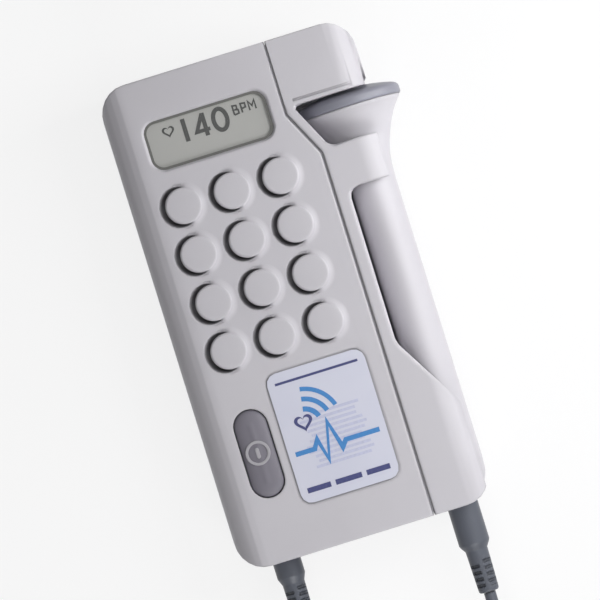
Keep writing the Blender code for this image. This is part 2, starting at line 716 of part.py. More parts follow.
def loft(name, rings):
    """A closed skin through rings of points, with flat ends."""
    shape_mesh = bmesh.new()
    rows = [[shape_mesh.verts.new(point) for point in ring] for ring in rings]
    count = len(rows[0])
    for lower, upper in zip(rows, rows[1:]):
        for index in range(count):
            after = (index + 1) % count
            shape_mesh.faces.new((lower[index], lower[after], upper[after], upper[index]))
    shape_mesh.faces.new(list(reversed(rows[0])))
    shape_mesh.faces.new(rows[-1])
    bmesh.ops.recalc_face_normals(shape_mesh, faces=shape_mesh.faces)
    return tool_from_bmesh(name, shape_mesh)


def tube(name, points, radius, resolution):
    """A round tube along points, with closed ends."""
    curve = bpy.data.curves.new(name, "CURVE")
    curve.dimensions = "3D"
    curve.bevel_depth = radius
    curve.bevel_resolution = resolution
    curve.use_fill_caps = True
    spline = curve.splines.new("POLY")
    spline.points.add(len(points) - 1)
    for point, place in zip(spline.points, points):
        point.co = (place[0], place[1], place[2], 1.0)
    line = bpy.data.objects.new(name, curve)
    cutters.objects.link(line)
    bpy.context.view_layer.update()
    return tool_from_mesh(name, mesh_from_curve(line))


def rounded_outline(width, height, radius, steps, centre=(0.0, 0.0)):
    """The points of a rounded rectangle, anticlockwise, each corner an arc."""
    points = []
    for quarter in range(4):
        side_x = 1.0 if quarter in (0, 3) else -1.0
        side_y = 1.0 if quarter in (0, 1) else -1.0
        corner_x = centre[0] + side_x * (width / 2 - radius)
        corner_y = centre[1] + side_y * (height / 2 - radius)
        for step in range(steps + 1):
            angle = math.radians(90.0) * (quarter + step / steps)
            points.append((corner_x + radius * math.cos(angle), corner_y + radius * math.sin(angle)))
    return points


def pill_outline(grow):
    """The button's outline, grown on all sides, with full round ends."""
    width = BUTTON_WIDTH + 2 * grow
    length = BUTTON_LENGTH + 2 * grow
    arcs = rounded_outline(width, length, width / 2, LARGE_ROUND_STEPS, (BUTTON_X, BUTTON_Y))
    outline = []
    for point in arcs:
        if not outline or (Vector(point) - Vector(outline[-1])).length > MERGE:
            outline.append(point)
    if (Vector(outline[0]) - Vector(outline[-1])).length < MERGE:
        outline.pop()
    return outline


def seam_points(offset):
    """The seam's four points from top to bottom, moved towards the case by the offset."""
    turn = math.atan2(SEAM_LOW_X - SEAM_TOP_X, SEAM_TOP_Y - SEAM_LOW_Y)
    drop = offset * math.tan(turn / 2)
    return [
        (SEAM_TOP_X - offset, HALF_LENGTH + OVERRUN),
        (SEAM_TOP_X - offset, SEAM_TOP_Y - drop),
        (SEAM_LOW_X - offset, SEAM_LOW_Y - drop),
        (SEAM_LOW_X - offset, -HALF_LENGTH - OVERRUN),
    ]


def left_of_seam(name, offset, low, high):
    """Everything on the case's side of the seam, between two levels."""
    outer = HALF_WIDTH + OVERRUN
    ends = [(-outer, -HALF_LENGTH - OVERRUN), (-outer, HALF_LENGTH + OVERRUN)]
    return prism(name, ends + seam_points(offset), low, high)


def right_of_seam(name, offset, low, high):
    """Everything on the probe holder's side of the seam, between two levels."""
    outer = HALF_WIDTH + OVERRUN
    ends = [(outer, -HALF_LENGTH - OVERRUN), (outer, HALF_LENGTH + OVERRUN)]
    return prism(name, ends + seam_points(-offset), low, high)


def case_block(name, inset):
    """The case's rounded outer form, or the same form drawn in by an inset."""
    across = CASE_WIDTH - 2 * inset
    along = CASE_LENGTH - 2 * inset
    deep = CASE_DEPTH - 2 * inset
    section = rounded_outline(across, deep, SIDE_RADIUS - inset, LARGE_ROUND_STEPS, (0.0, MID_Z))
    reach = along / 2 + OVERRUN
    block = prism(name, section, -reach, reach, upright=True)
    plan = rounded_outline(
        across + TANGENT_SLACK, along, CORNER_RADIUS - inset, LARGE_ROUND_STEPS
    )
    plan_block = prism(name + "_plan", plan, inset - TANGENT_SLACK, CASE_DEPTH - inset + TANGENT_SLACK)
    if inset == 0.0:
        round_edges(plan_block, RIM_RADIUS)
    return keep(block, plan_block)


def disc_places(shift=0.0):
    """The middles of the louvre discs, or of holes set off from them in x."""
    places = []
    for row in range(DISC_ROWS):
        for column in range(DISC_COLUMNS):
            x = DISC_FIRST_X + column * DISC_PITCH - shift
            places.append((x, DISC_FIRST_Y - row * DISC_PITCH))
    return places


def case_boss_places():
    """Where the case screws stand: upper left and right, lower left and right."""
    left = -HALF_WIDTH + BOSS_INSET
    top = HALF_LENGTH - BOSS_INSET
    return [
        (left, top),
        (SEAM_TOP_X - RIGHT_BOSS_INSET, top),
        (left, LOW_BOSS_LEFT_INSET - HALF_LENGTH),
        (SEAM_LOW_X - RIGHT_BOSS_INSET, LOW_BOSS_RIGHT_INSET - HALF_LENGTH),
    ]


def board_post_places():
    """Where the main board's screws stand."""
    left = -HALF_WIDTH + WALL + POST_INSET
    low = BOARD_BOTTOM_Y + POST_INSET
    high = BOARD_SHOULDER_Y - POST_INSET
    return [
        (left, high),
        (SEAM_TOP_X - WALL - POST_INSET, high),
        (left, low),
        (SEAM_LOW_X - WALL - POST_INSET, low),
    ]


def screw(name, head_base, direction, head_radius, head_height, shank_radius, length):
    """A screw whose shank points along the direction from the underside of its head."""
    slot = SCREW_SLOT / 2
    profile = [
        (0.0, length),
        (shank_radius, length),
        (shank_radius, 0.0),
        (head_radius, 0.0),
        (head_radius, slot - head_height),
        (head_radius - slot, -head_height),
        (0.0, -head_height),
    ]
    shape = turned(name, profile, head_base, direction, steps=10)
    way = Vector(direction)
    across = way.orthogonal().normalized() * (head_radius + OVERRUN)
    side = way.cross(across).normalized() * slot
    top = Vector(head_base) - way * (head_height + OVERRUN)
    floor = Vector(head_base) - way * (head_height - slot * 2)
    corners = []
    for level in (floor, top):
        for along, beside in ((-1, -1), (1, -1), (1, 1), (-1, 1)):
            corners.append(level + across * along + side * beside)
    cutter = loft(name + "_slot", [corners[:4], corners[4:]])
    return as_part(carve(shape, cutter), name, STEEL)


def boot_profile(plain_radius, plain_length, length):
    """The outside of a strain relief: plain, then stepped down to a slotted, tapering sleeve."""
    profile = [(plain_radius, 0.0), (plain_radius, plain_length)]
    place = plain_length + BOOT_CHAMFER_LENGTH
    profile.append((BOOT_SLEEVE_RADIUS, place))
    sleeve = length - place
    slots = int((sleeve - BOOT_SLOT_WIDTH) / BOOT_SLOT_PITCH)
    for index in range(slots):
        start = place + (index + 1) * BOOT_SLOT_PITCH - BOOT_SLOT_WIDTH
        for along, depth in ((0.0, 0.0), (0.0, 1.0), (1.0, 1.0), (1.0, 0.0)):
            here = start + along * BOOT_SLOT_WIDTH
            share = (here - place) / sleeve
            radius = BOOT_SLEEVE_RADIUS + (BOOT_TIP_RADIUS - BOOT_SLEEVE_RADIUS) * share
            profile.append((radius - depth * BOOT_SLOT_DEPTH, here))
    profile += [(BOOT_TIP_RADIUS, length), (0.0, length)]
    return profile


def smooth_route(points, step):
    """Places at even steps along a smooth curve through the route's own points."""
    route = np.array(points)
    padded = np.vstack([2 * route[0] - route[1], route, 2 * route[-1] - route[-2]])
    share = np.linspace(0.0, 1.0, 40, endpoint=False)[:, None]
    pieces = []
    for index in range(1, len(padded) - 2):
        before, start, end, after = padded[index - 1 : index + 3]
        pieces.append(
            start
            + share * (end - before) / 2
            + share**2 * (2 * before - 5 * start + 4 * end - after) / 2
            + share**3 * (3 * start - before - 3 * end + after) / 2
        )
    line = np.vstack(pieces + [route[-1:]])
    reach = np.concatenate([[0.0], np.cumsum(np.linalg.norm(np.diff(line, axis=0), axis=1))])
    places = np.linspace(0.0, reach[-1], int(round(reach[-1] / step)) + 1)
    return np.stack([np.interp(places, reach, line[:, axis]) for axis in range(3)], axis=1), places


def curly_points():
    """The cable's centre line: a straight lead, the curls, and a straight lead again."""
    step = CURL_PITCH / CURL_POINTS
    line, places = smooth_route(CORD_ROUTE, step)
    along = np.gradient(line, axis=0)
    along /= np.linalg.norm(along, axis=1)[:, None]
    side = np.cross(along, (0.0, 0.0, 1.0))
    side /= np.linalg.norm(side, axis=1)[:, None]
    upward = np.cross(side, along)
    to_end = np.minimum(places, places[-1] - places)
    grown = np.clip((to_end - COIL_START) / CURL_GROWTH, 0.0, 1.0)
    grown = grown * grown * (3 - 2 * grown)
    radius = CURL_RADIUS * grown
    angle = 2 * math.pi * np.cumsum(grown) / CURL_POINTS
    curls = line + radius[:, None] * (
        np.cos(angle)[:, None] * side + np.sin(angle)[:, None] * upward
    )
    stride = max(1, int(LEAD_STEP / step))
    wanted = (to_end > COIL_START) | (np.arange(len(places)) % stride == 0)
    wanted[-1] = True
    return curls[wanted]


def least_self_gap(points, radius):
    """The least gap between runs of a tube that lie over three diameters apart along it."""
    reach = np.concatenate([[0.0], np.cumsum(np.linalg.norm(np.diff(points, axis=0), axis=1))])
    places = np.linspace(0.0, reach[-1], 4 * len(points))
    samples = np.stack([np.interp(places, reach, points[:, axis]) for axis in range(3)], axis=1)
    least = math.inf
    for place, sample in zip(places, samples):
        far = np.abs(places - place) > 6 * radius
        least = min(least, np.linalg.norm(samples[far] - sample, axis=1).min())
    return least - 2 * radius


def make_case():
    """Front and rear shells of the main case."""
    bosses = case_boss_places()
    posts = board_post_places()
    split = GAP / 2
    cavity = case_block("case_cavity", WALL)
    keep(cavity, left_of_seam("case_cavity_side", WALL + split, -OVERRUN, CASE_DEPTH + OVERRUN))

    front = case_block("front_block", 0.0)
    keep(front, left_of_seam("front_side", split, MID_Z + split, CASE_DEPTH + OVERRUN))
    carve(front, cavity)
    front_bosses = rods("front_bosses", bosses, BOSS_RADIUS, MID_Z + split, CASE_DEPTH - WALL / 2)
    attach(front, keep(front_bosses, case_block("front_limit", WALL / 2)))
    attach(front, prism("button_guide", pill_outline(GAP + BUTTON_LIP + BUTTON_GUIDE_WALL),
                        GUIDE_LOW_Z, CASE_DEPTH - WALL / 2))
    attach(front, rods("button_pegs", peg_places(), PEG_RADIUS, SWITCH_BOARD_LOW_Z, INNER_FRONT_Z, 10))
    screw_tip = SCREW_SINK + SCREW_LENGTH + GAP
    carve(front, rods("front_pilots", bosses, SCREW_SHANK_RADIUS + GAP, MID_Z - GAP, screw_tip, 12))
    carve(front, prism("button_well", pill_outline(GAP + BUTTON_LIP), GUIDE_LOW_Z - OVERRUN,
                       INNER_FRONT_Z))
    carve(front, prism("button_hole", pill_outline(GAP), MID_Z, CASE_DEPTH + OVERRUN))
    carve(front, rods("disc_holes", disc_places(DISC_HOLE_SHIFT), DISC_HOLE_RADIUS,
                      INNER_FRONT_Z - OVERRUN, CASE_DEPTH + OVERRUN, DISC_SIDES))
    carve(front, display_hole(), label_recess(), boot_hole("front_boot_hole"))
    as_part(front, "front_case", CASE_GREY)

    rear = case_block("rear_block", 0.0)
    keep(rear, left_of_seam("rear_side", split, -OVERRUN, MID_Z - split))
    carve(rear, cavity)
    inner = rods("rear_bosses", bosses, BOSS_RADIUS, 0.0, MID_Z - split)
    attach(inner, rods("board_posts", posts, POST_RADIUS, 0.0, BOARD_LOW_Z - GAP, 12))
    attach(inner, compartment_block(), door_pad())
    keep(inner, case_block("rear_limit", WALL / 2))
    attach(rear, inner)
    carve(rear, *compartment_cutters())
    carve(rear, rods("shank_holes", bosses, SCREW_SHANK_RADIUS + GAP, SCREW_SINK, MID_Z + OVERRUN, 12))
    carve(rear, rods("head_wells", bosses, SCREW_HEAD_RADIUS + GAP, -OVERRUN, SCREW_SINK + GAP, 16))
    post_tip = BOARD_HIGH_Z + GAP - SMALL_SCREW_LENGTH - GAP
    carve(rear, rods("post_pilots", posts, SMALL_SHANK_RADIUS + GAP, post_tip, MID_Z, 10))
    for place_y in (HOLDER_SCREW_UP_Y, HOLDER_SCREW_LOW_Y):
        carve(rear, rod("holder_screw_hole", (SEAM_LOW_X - WALL - OVERRUN / 2, place_y, HOLDER_SCREW_Z),
                        (SEAM_LOW_X + OVERRUN, place_y, HOLDER_SCREW_Z),
                        SCREW_SHANK_RADIUS + GAP, 12))
    carve(rear, boot_hole("rear_boot_hole"), wheel_slot(), wheel_scoop(), jack_hole())
    as_part(rear, "rear_case", CASE_GREY)


def peg_places():
    """The two pegs that the switch board is staked on, in the ends of the button's guide."""
    reach = BUTTON_LENGTH / 2 + GAP + BUTTON_LIP + BUTTON_GUIDE_WALL / 2
    return [(BUTTON_X, BUTTON_Y - reach), (BUTTON_X, BUTTON_Y + reach)]


def display_hole():
    """The display's opening, widened by a bevel at the front."""
    rings = []
    levels = (
        (INNER_FRONT_Z - OVERRUN, 0.0),
        (CASE_DEPTH - DISPLAY_BEVEL, 0.0),
        (CASE_DEPTH, DISPLAY_BEVEL),
        (CASE_DEPTH + DISPLAY_BEVEL, 2 * DISPLAY_BEVEL),
    )
    for level, grow in levels:
        outline = rounded_outline(
            DISPLAY_WIDTH + 2 * (grow - DISPLAY_BEVEL),
            DISPLAY_HEIGHT + 2 * (grow - DISPLAY_BEVEL),
            DISPLAY_RADIUS + grow - DISPLAY_BEVEL,
            LARGE_ROUND_STEPS,
            (DISPLAY_X, DISPLAY_Y),
        )
        rings.append([(x, y, level) for x, y in outline])
    return loft("display_hole", rings)


def label_recess():
    """The shallow recess that the label lies in."""
    outline = rounded_outline(LABEL_WIDTH + 2 * GAP, LABEL_HEIGHT + 2 * GAP, LABEL_RADIUS + GAP,
                              SMALL_ROUND_STEPS, (LABEL_X, LABEL_Y))
    return prism("label_recess", outline, CASE_DEPTH - LABEL_SINK, CASE_DEPTH + OVERRUN)


def boot_hole(name):
    """The hole that the unit's strain relief is clamped in, half in each shell."""
    return rod(name, (UNIT_BOOT_X, -HALF_LENGTH - OVERRUN, MID_Z),
               (UNIT_BOOT_X, -HALF_LENGTH + WALL + OVERRUN / 4, MID_Z), UNIT_BOOT_NECK_RADIUS + GAP, 20)


def wheel_place():
    """The middle of the volume wheel: x, y and its lower face."""
    low = BOARD_LOW_Z - WHEEL_BOARD_GAP - WHEEL_THICKNESS
    return WHEEL_X, HALF_LENGTH - WHEEL_RIM_SINK - WHEEL_RADIUS, low


def wheel_slot():
    """The slot in the top end that the volume wheel's rim fills."""
    x, y, low = wheel_place()
    reach = WHEEL_RADIUS + 2 * GAP
    return rod("wheel_slot", (x, y, low - 2 * GAP), (x, y, low + WHEEL_THICKNESS + 2 * GAP), reach, 32)


def wheel_scoop():
    """The shallow hollow in the top end that a fingertip reaches the wheel through."""
    x, y, low = wheel_place()
    middle = low + WHEEL_THICKNESS / 2
    radius = (SCOOP_WIDTH**2 / 4 + SCOOP_SINK**2) / (2 * SCOOP_SINK)
    high = HALF_LENGTH - SCOOP_SINK + radius
    reach = WHEEL_THICKNESS
    return rod("wheel_scoop", (x, high, middle - reach), (x, high, middle + reach), radius, 64)


def jack_hole():
    """The hole in the top end for the headphone socket's nose."""
    level = BOARD_LOW_Z - GAP - JACK_HEIGHT / 2
    return rod("jack_hole", (JACK_X, HALF_LENGTH - WALL - OVERRUN / 4, level),
               (JACK_X, HALF_LENGTH + OVERRUN, level), JACK_NOSE_RADIUS + GAP, 20)


def compartment_size():
    """Half width, lower end and upper end of the battery compartment's inside."""
    half = BATTERY_WIDTH / 2 + BATTERY_PLAY
    low = BATTERY_LOW_Y - GAP
    high = BATTERY_LOW_Y + BATTERY_LENGTH + GAP + SNAP_THICKNESS + GAP
    return half, low, high


def compartment_block():
    """The compartment's walls and ceiling before its inside is cut."""
    half, low, high = compartment_size()
    wall = COMPARTMENT_WALL
    return box("compartment_block", (BATTERY_X - half - wall, low - wall, 0.0),
               (BATTERY_X + half + wall, high + wall, COMPARTMENT_HIGH_Z))


def door_pad():
    """Thicker back wall round the door, which leaves a ledge under it."""
    half = DOOR_WIDTH / 2 + DOOR_TONGUE + GAP + LEDGE_THICKNESS
    return box("door_pad", (BATTERY_X - half, -HALF_LENGTH, 0.0),
               (BATTERY_X + half, DOOR_TOP_Y + LEDGE_THICKNESS, COMPARTMENT_LOW_Z + LEDGE_THICKNESS))


def compartment_cutters():
    """The battery's space, and the door's recess with a groove along each side."""
    half, low, high = compartment_size()
    inside = box("compartment_inside", (BATTERY_X - half, low, -OVERRUN),
                 (BATTERY_X + half, high, BATTERY_HIGH_Z + GAP))
    mouth_half = DOOR_WIDTH / 2 + GAP
    end = -HALF_LENGTH - OVERRUN
    mouth = box("door_mouth", (BATTERY_X - mouth_half, end, -OVERRUN),
                (BATTERY_X + mouth_half, DOOR_TOP_Y + GAP, COMPARTMENT_LOW_Z))
    groove_half = mouth_half + DOOR_TONGUE
    groove = box("door_groove", (BATTERY_X - groove_half, end, DOOR_LIP - GAP),
                 (BATTERY_X + groove_half, DOOR_TOP_Y + GAP, COMPARTMENT_LOW_Z))
    return inside, mouth, groove


def make_battery():
    """Battery, its snap connector and the sliding door."""
    low_y, top_y = BATTERY_LOW_Y, BATTERY_LOW_Y + BATTERY_LENGTH
    level = (COMPARTMENT_LOW_Z + BATTERY_HIGH_Z) / 2
    block = box("battery_block", (BATTERY_X - BATTERY_WIDTH / 2, low_y, COMPARTMENT_LOW_Z),
                (BATTERY_X + BATTERY_WIDTH / 2, top_y, BATTERY_HIGH_Z))
    round_edges(block, BATTERY_ROUND)
    snap_low = top_y + GAP
    snap = box("snap_block", (BATTERY_X - BATTERY_WIDTH / 2, snap_low, level - SNAP_HEIGHT / 2),
               (BATTERY_X + BATTERY_WIDTH / 2, snap_low + SNAP_THICKNESS, level + SNAP_HEIGHT / 2))
    round_edges(snap, BATTERY_ROUND / 2, 1)
    for side in (-1, 1):
        x = BATTERY_X + side * TERMINAL_SPREAD / 2
        attach(block, rod("terminal", (x, top_y - BATTERY_ROUND, level),
                          (x, top_y + TERMINAL_HEIGHT, level), TERMINAL_RADIUS, 16))
        carve(snap, rod("terminal_cup", (x, top_y - OVERRUN, level),
                        (x, top_y + TERMINAL_HEIGHT + GAP, level), TERMINAL_RADIUS + GAP, 16))
    as_part(block, "battery", BATTERY_SKIN)
    as_part(snap, "battery_snap", BLACK_PLASTIC)

    half = DOOR_WIDTH / 2
    door = box("door_plate", (BATTERY_X - half, DOOR_LOW_Y, 0.0),
               (BATTERY_X + half, DOOR_TOP_Y, DOOR_THICKNESS))
    tongues = box("door_tongues", (BATTERY_X - half - DOOR_TONGUE, DOOR_LOW_Y, DOOR_LIP),
                  (BATTERY_X + half + DOOR_TONGUE, DOOR_TOP_Y, DOOR_THICKNESS))
    attach(door, tongues)
    keep(door, case_block("door_limit", 0.0))
    for index in range(DOOR_GRIP_COUNT):
        y = DOOR_TOP_Y - (index + 2) * DOOR_GRIP_PITCH
        carve(door, box_around("door_grip", BATTERY_X, y, DOOR_GRIP_LENGTH, DOOR_GRIP_WIDTH,
                               -OVERRUN, DOOR_GRIP_DEPTH))
    as_part(door, "battery_door", CASE_GREY, (BATTERY_X, (DOOR_LOW_Y + DOOR_TOP_Y) / 2, 0.0))


def make_display():
    """Window, LCD, the frame that holds it and the board that drives it."""
    place = (DISPLAY_X, DISPLAY_Y)
    width = DISPLAY_WIDTH - 2 * (DISPLAY_BEVEL + GAP)
    height = DISPLAY_HEIGHT - 2 * (DISPLAY_BEVEL + GAP)
    radius = DISPLAY_RADIUS - DISPLAY_BEVEL - GAP
    lens = prism("lens", rounded_outline(width, height, radius, LARGE_ROUND_STEPS, place),
                 LENS_FLANGE_LOW_Z, CASE_DEPTH - DISPLAY_SINK)
    grow = LENS_FLANGE + GAP
    flange = prism("lens_flange", rounded_outline(width + 2 * grow, height + 2 * grow, radius + grow,
                                                  LARGE_ROUND_STEPS, place),
                   LENS_FLANGE_LOW_Z, LENS_FLANGE_HIGH_Z)
    as_part(attach(lens, flange), "display_window", LENS_CLEAR)

    panel = box_around("lcd_block", *place, LCD_WIDTH, LCD_HEIGHT, LCD_LOW_Z, LCD_HIGH_Z)
    for side in (-1, 1):
        y = DISPLAY_Y + side * LCD_HEIGHT / 2
        carve(panel, box_around("lcd_step", DISPLAY_X, y, LCD_WIDTH + OVERRUN, 2 * LCD_SEAL_STEP,
                                LCD_HIGH_Z - LCD_SEAL_HEIGHT, LCD_HIGH_Z + OVERRUN))
    as_part(panel, "lcd_panel", LCD_GREEN)

    inner_width = LCD_WIDTH + 2 * GAP
    inner_height = LCD_HEIGHT + 2 * GAP
    rim = box_around("frame_block", *place, inner_width + 2 * FRAME_RIM,
                     inner_height + 2 * FRAME_RIM, FRAME_LOW_Z, LCD_HIGH_Z)
    carve(rim, box_around("frame_seat", *place, inner_width, inner_height, FRAME_FLOOR_HIGH_Z,
                          LCD_HIGH_Z + OVERRUN))
    window_height = LCD_HEIGHT - 2 * FRAME_WINDOW_MARGIN
    carve(rim, box_around("frame_window", *place, LCD_WIDTH - 2 * FRAME_WINDOW_MARGIN,
                          window_height, FRAME_LOW_Z - OVERRUN, CASE_DEPTH))
    as_part(rim, "lcd_frame", BLACK_PLASTIC)

    for name, side in (("zebra_strip_upper", 1), ("zebra_strip_lower", -1)):
        y = DISPLAY_Y + side * (window_height / 2 - GAP - ZEBRA_WIDTH / 2)
        strip = box_around(name, DISPLAY_X, y, LCD_WIDTH - 2 * (FRAME_WINDOW_MARGIN + GAP),
                           ZEBRA_WIDTH, FRAME_LOW_Z, FRAME_FLOOR_HIGH_Z)
        as_part(strip, name, FOAM)
    board = box_around("display_board_block", *place, inner_width, inner_height,
                       DISPLAY_BOARD_LOW_Z, DISPLAY_BOARD_HIGH_Z)
    as_part(board, "display_board", BOARD_GREEN)
    header_y = DISPLAY_Y - LCD_HEIGHT / 2 + HEADER_WIDTH
    header = box_around("header_block", DISPLAY_X, header_y, HEADER_LENGTH, HEADER_WIDTH,
                        BOARD_HIGH_Z + GAP, DISPLAY_BOARD_LOW_Z - GAP)
    as_part(header, "display_header", BLACK_PLASTIC)


def make_speaker():
    """The louvred outlet and the loudspeaker behind it."""
    middle_x = DISC_FIRST_X + (DISC_COLUMNS - 1) * DISC_PITCH / 2
    middle_y = DISC_FIRST_Y - (DISC_ROWS - 1) * DISC_PITCH / 2
    reach = 2 * (DISC_HOLE_RADIUS + GRILLE_MARGIN)
    width = (DISC_COLUMNS - 1) * DISC_PITCH + reach
    height = (DISC_ROWS - 1) * DISC_PITCH + reach
    plate = box_around("grille_plate", middle_x, middle_y, width, height, GRILLE_LOW_Z, GRILLE_HIGH_Z)
    carve(plate, rods("louvre_slots", disc_places(SLOT_SHIFT), SLOT_RADIUS, GRILLE_LOW_Z - OVERRUN,
                      GRILLE_HIGH_Z + OVERRUN, DISC_SIDES))
    discs = rods("louvre_discs", disc_places(), DISC_RADIUS, GRILLE_LOW_Z + TANGENT_SLACK,
                 CASE_DEPTH + DISC_RISE, DISC_SIDES, DISC_ROUND)
    as_part(attach(plate, discs), "speaker_grille", CASE_GREY)

    depth = SPEAKER_DEPTH
    mouth = SPEAKER_RADIUS - SPEAKER_FLANGE
    neck = SPEAKER_NECK_RADIUS
    skin = SPEAKER_SKIN
    hole = POLE_RADIUS + GAP
    top = GRILLE_LOW_Z - GAP
    frame = [
        (mouth - skin, 0.0),
        (SPEAKER_RADIUS, 0.0),
        (SPEAKER_RADIUS, -SPEAKER_RIM_HEIGHT),
        (mouth, -SPEAKER_RIM_HEIGHT),
        (neck, -depth + skin),
        (neck, -depth),
        (hole, -depth),
        (hole, -depth + skin),
        (neck - skin, -depth + skin),
        (mouth - skin, -SPEAKER_RIM_HEIGHT),
        (mouth - skin, 0.0),
    ]
    shape = turned("speaker_frame", frame, (middle_x, middle_y, top), (0.0, 0.0, 1.0))
    as_part(shape, "speaker_frame", BLACK_PLASTIC)

    floor = -depth + skin + GAP
    cone_mouth = mouth - skin - GAP
    cone_neck = neck - skin - GAP
    cone = [
        (0.0, floor + CONE_SKIN + DUST_CAP_RISE),
        (DUST_CAP_RADIUS * math.cos(math.radians(45.0)), floor + CONE_SKIN + DUST_CAP_RISE / 2),
        (DUST_CAP_RADIUS, floor + CONE_SKIN),
        (cone_neck - CONE_SKIN, floor + CONE_SKIN),
        (cone_mouth - CONE_SKIN, -CONE_SKIN),
        (cone_mouth, -CONE_SKIN),
        (cone_mouth, -SPEAKER_RIM_HEIGHT),
        (cone_neck, floor),
        (0.0, floor),
    ]
    shape = turned("speaker_cone", cone, (middle_x, middle_y, top), (0.0, 0.0, 1.0))
    as_part(shape, "speaker_cone", CONE_PAPER)

    base = -depth - GAP
    magnet = [
        (0.0, floor - GAP),
        (POLE_RADIUS, floor - GAP),
        (POLE_RADIUS, base),
        (MAGNET_RADIUS, base),
        (MAGNET_RADIUS, base - MAGNET_HEIGHT),
        (0.0, base - MAGNET_HEIGHT),
    ]
    shape = turned("speaker_magnet", magnet, (middle_x, middle_y, top), (0.0, 0.0, 1.0))
    as_part(shape, "speaker_magnet", STEEL)


def make_button():
    """The on/off button, the switch under it and the switch's board."""
    low = INNER_FRONT_Z - GAP - BUTTON_LIP_THICKNESS
    cap = prism("button_cap", pill_outline(0.0), low, CASE_DEPTH + BUTTON_RISE)
    round_edges(cap, BUTTON_ROUND)
    lip = prism("button_lip", pill_outline(BUTTON_LIP - GAP), low, low + BUTTON_LIP_THICKNESS)
    attach(cap, lip)
    top = CASE_DEPTH + BUTTON_RISE
    inner = SYMBOL_RADIUS - SYMBOL_LINE
    ring = [(inner, OVERRUN), (SYMBOL_RADIUS, OVERRUN), (SYMBOL_RADIUS, -SYMBOL_DEPTH),
            (inner, -SYMBOL_DEPTH), (inner, OVERRUN)]
    carve(cap, turned("symbol_ring", ring, (BUTTON_X, BUTTON_Y, top), (0.0, 0.0, 1.0)))
    carve(cap, box_around("symbol_bar", BUTTON_X, BUTTON_Y, SYMBOL_LINE, inner,
                          top - SYMBOL_DEPTH, top + OVERRUN))
    as_part(cap, "power_button", BUTTON_GREY, (BUTTON_X, BUTTON_Y, low))

    board_length = BUTTON_LENGTH + 2 * (GAP + BUTTON_LIP + BUTTON_GUIDE_WALL + PEG_RADIUS)
    board = box_around("switch_board_block", BUTTON_X, BUTTON_Y, SWITCH_BOARD_WIDTH, board_length,
                       SWITCH_BOARD_LOW_Z, SWITCH_BOARD_HIGH_Z)
    carve(board, rods("peg_holes", peg_places(), PEG_RADIUS + GAP, SWITCH_BOARD_LOW_Z - OVERRUN,
                      SWITCH_BOARD_HIGH_Z + OVERRUN, 10))
    as_part(board, "switch_board", BOARD_GREEN)

    base = SWITCH_BOARD_HIGH_Z + GAP
    plunger_high = low - GAP
    housing_high = base + SWITCH_HEIGHT
    housing = box_around("switch_block", BUTTON_X, BUTTON_Y, SWITCH_SIZE, SWITCH_SIZE, base,
                         housing_high)
    carve(housing, rod("plunger_well", (BUTTON_X, BUTTON_Y, housing_high - PLUNGER_WELL),
                       (BUTTON_X, BUTTON_Y, housing_high + OVERRUN), PLUNGER_RADIUS + GAP))
    as_part(housing, "power_switch", BLACK_PLASTIC)
    plunger_low = housing_high - PLUNGER_WELL + BUTTON_TRAVEL + GAP
    plunger = rod("plunger", (BUTTON_X, BUTTON_Y, plunger_low), (BUTTON_X, BUTTON_Y, plunger_high),
                  PLUNGER_RADIUS)
    as_part(plunger, "switch_plunger", BRASS, (BUTTON_X, BUTTON_Y, plunger_low))


def make_label():
    """The label in its recess."""
    outline = rounded_outline(LABEL_WIDTH, LABEL_HEIGHT, LABEL_RADIUS, SMALL_ROUND_STEPS,
                              (LABEL_X, LABEL_Y))
    low = CASE_DEPTH - LABEL_SINK + GAP
    as_part(prism("label", outline, low, low + LABEL_THICKNESS), "label_plate", LABEL_LAVENDER)


def board_outline():
    """The main board's outline, which follows the seam and clears the upper bosses."""
    left = -HALF_WIDTH + WALL + BOARD_MARGIN
    inset = GAP / 2 + WALL + BOARD_MARGIN
    seam = seam_points(inset)
    top = HALF_LENGTH - WALL - BOARD_TOP_GAP
    return [
        (left, BOARD_BOTTOM_Y),
        (seam[2][0], BOARD_BOTTOM_Y),
        seam[2],
        seam[1],
        (seam[1][0], BOARD_SHOULDER_Y),
        (BOARD_TONGUE_RIGHT_X, BOARD_SHOULDER_Y),
        (BOARD_TONGUE_RIGHT_X, top),
        (BOARD_TONGUE_LEFT_X, top),
        (BOARD_TONGUE_LEFT_X, BOARD_SHOULDER_Y),
        (left, BOARD_SHOULDER_Y),
    ]


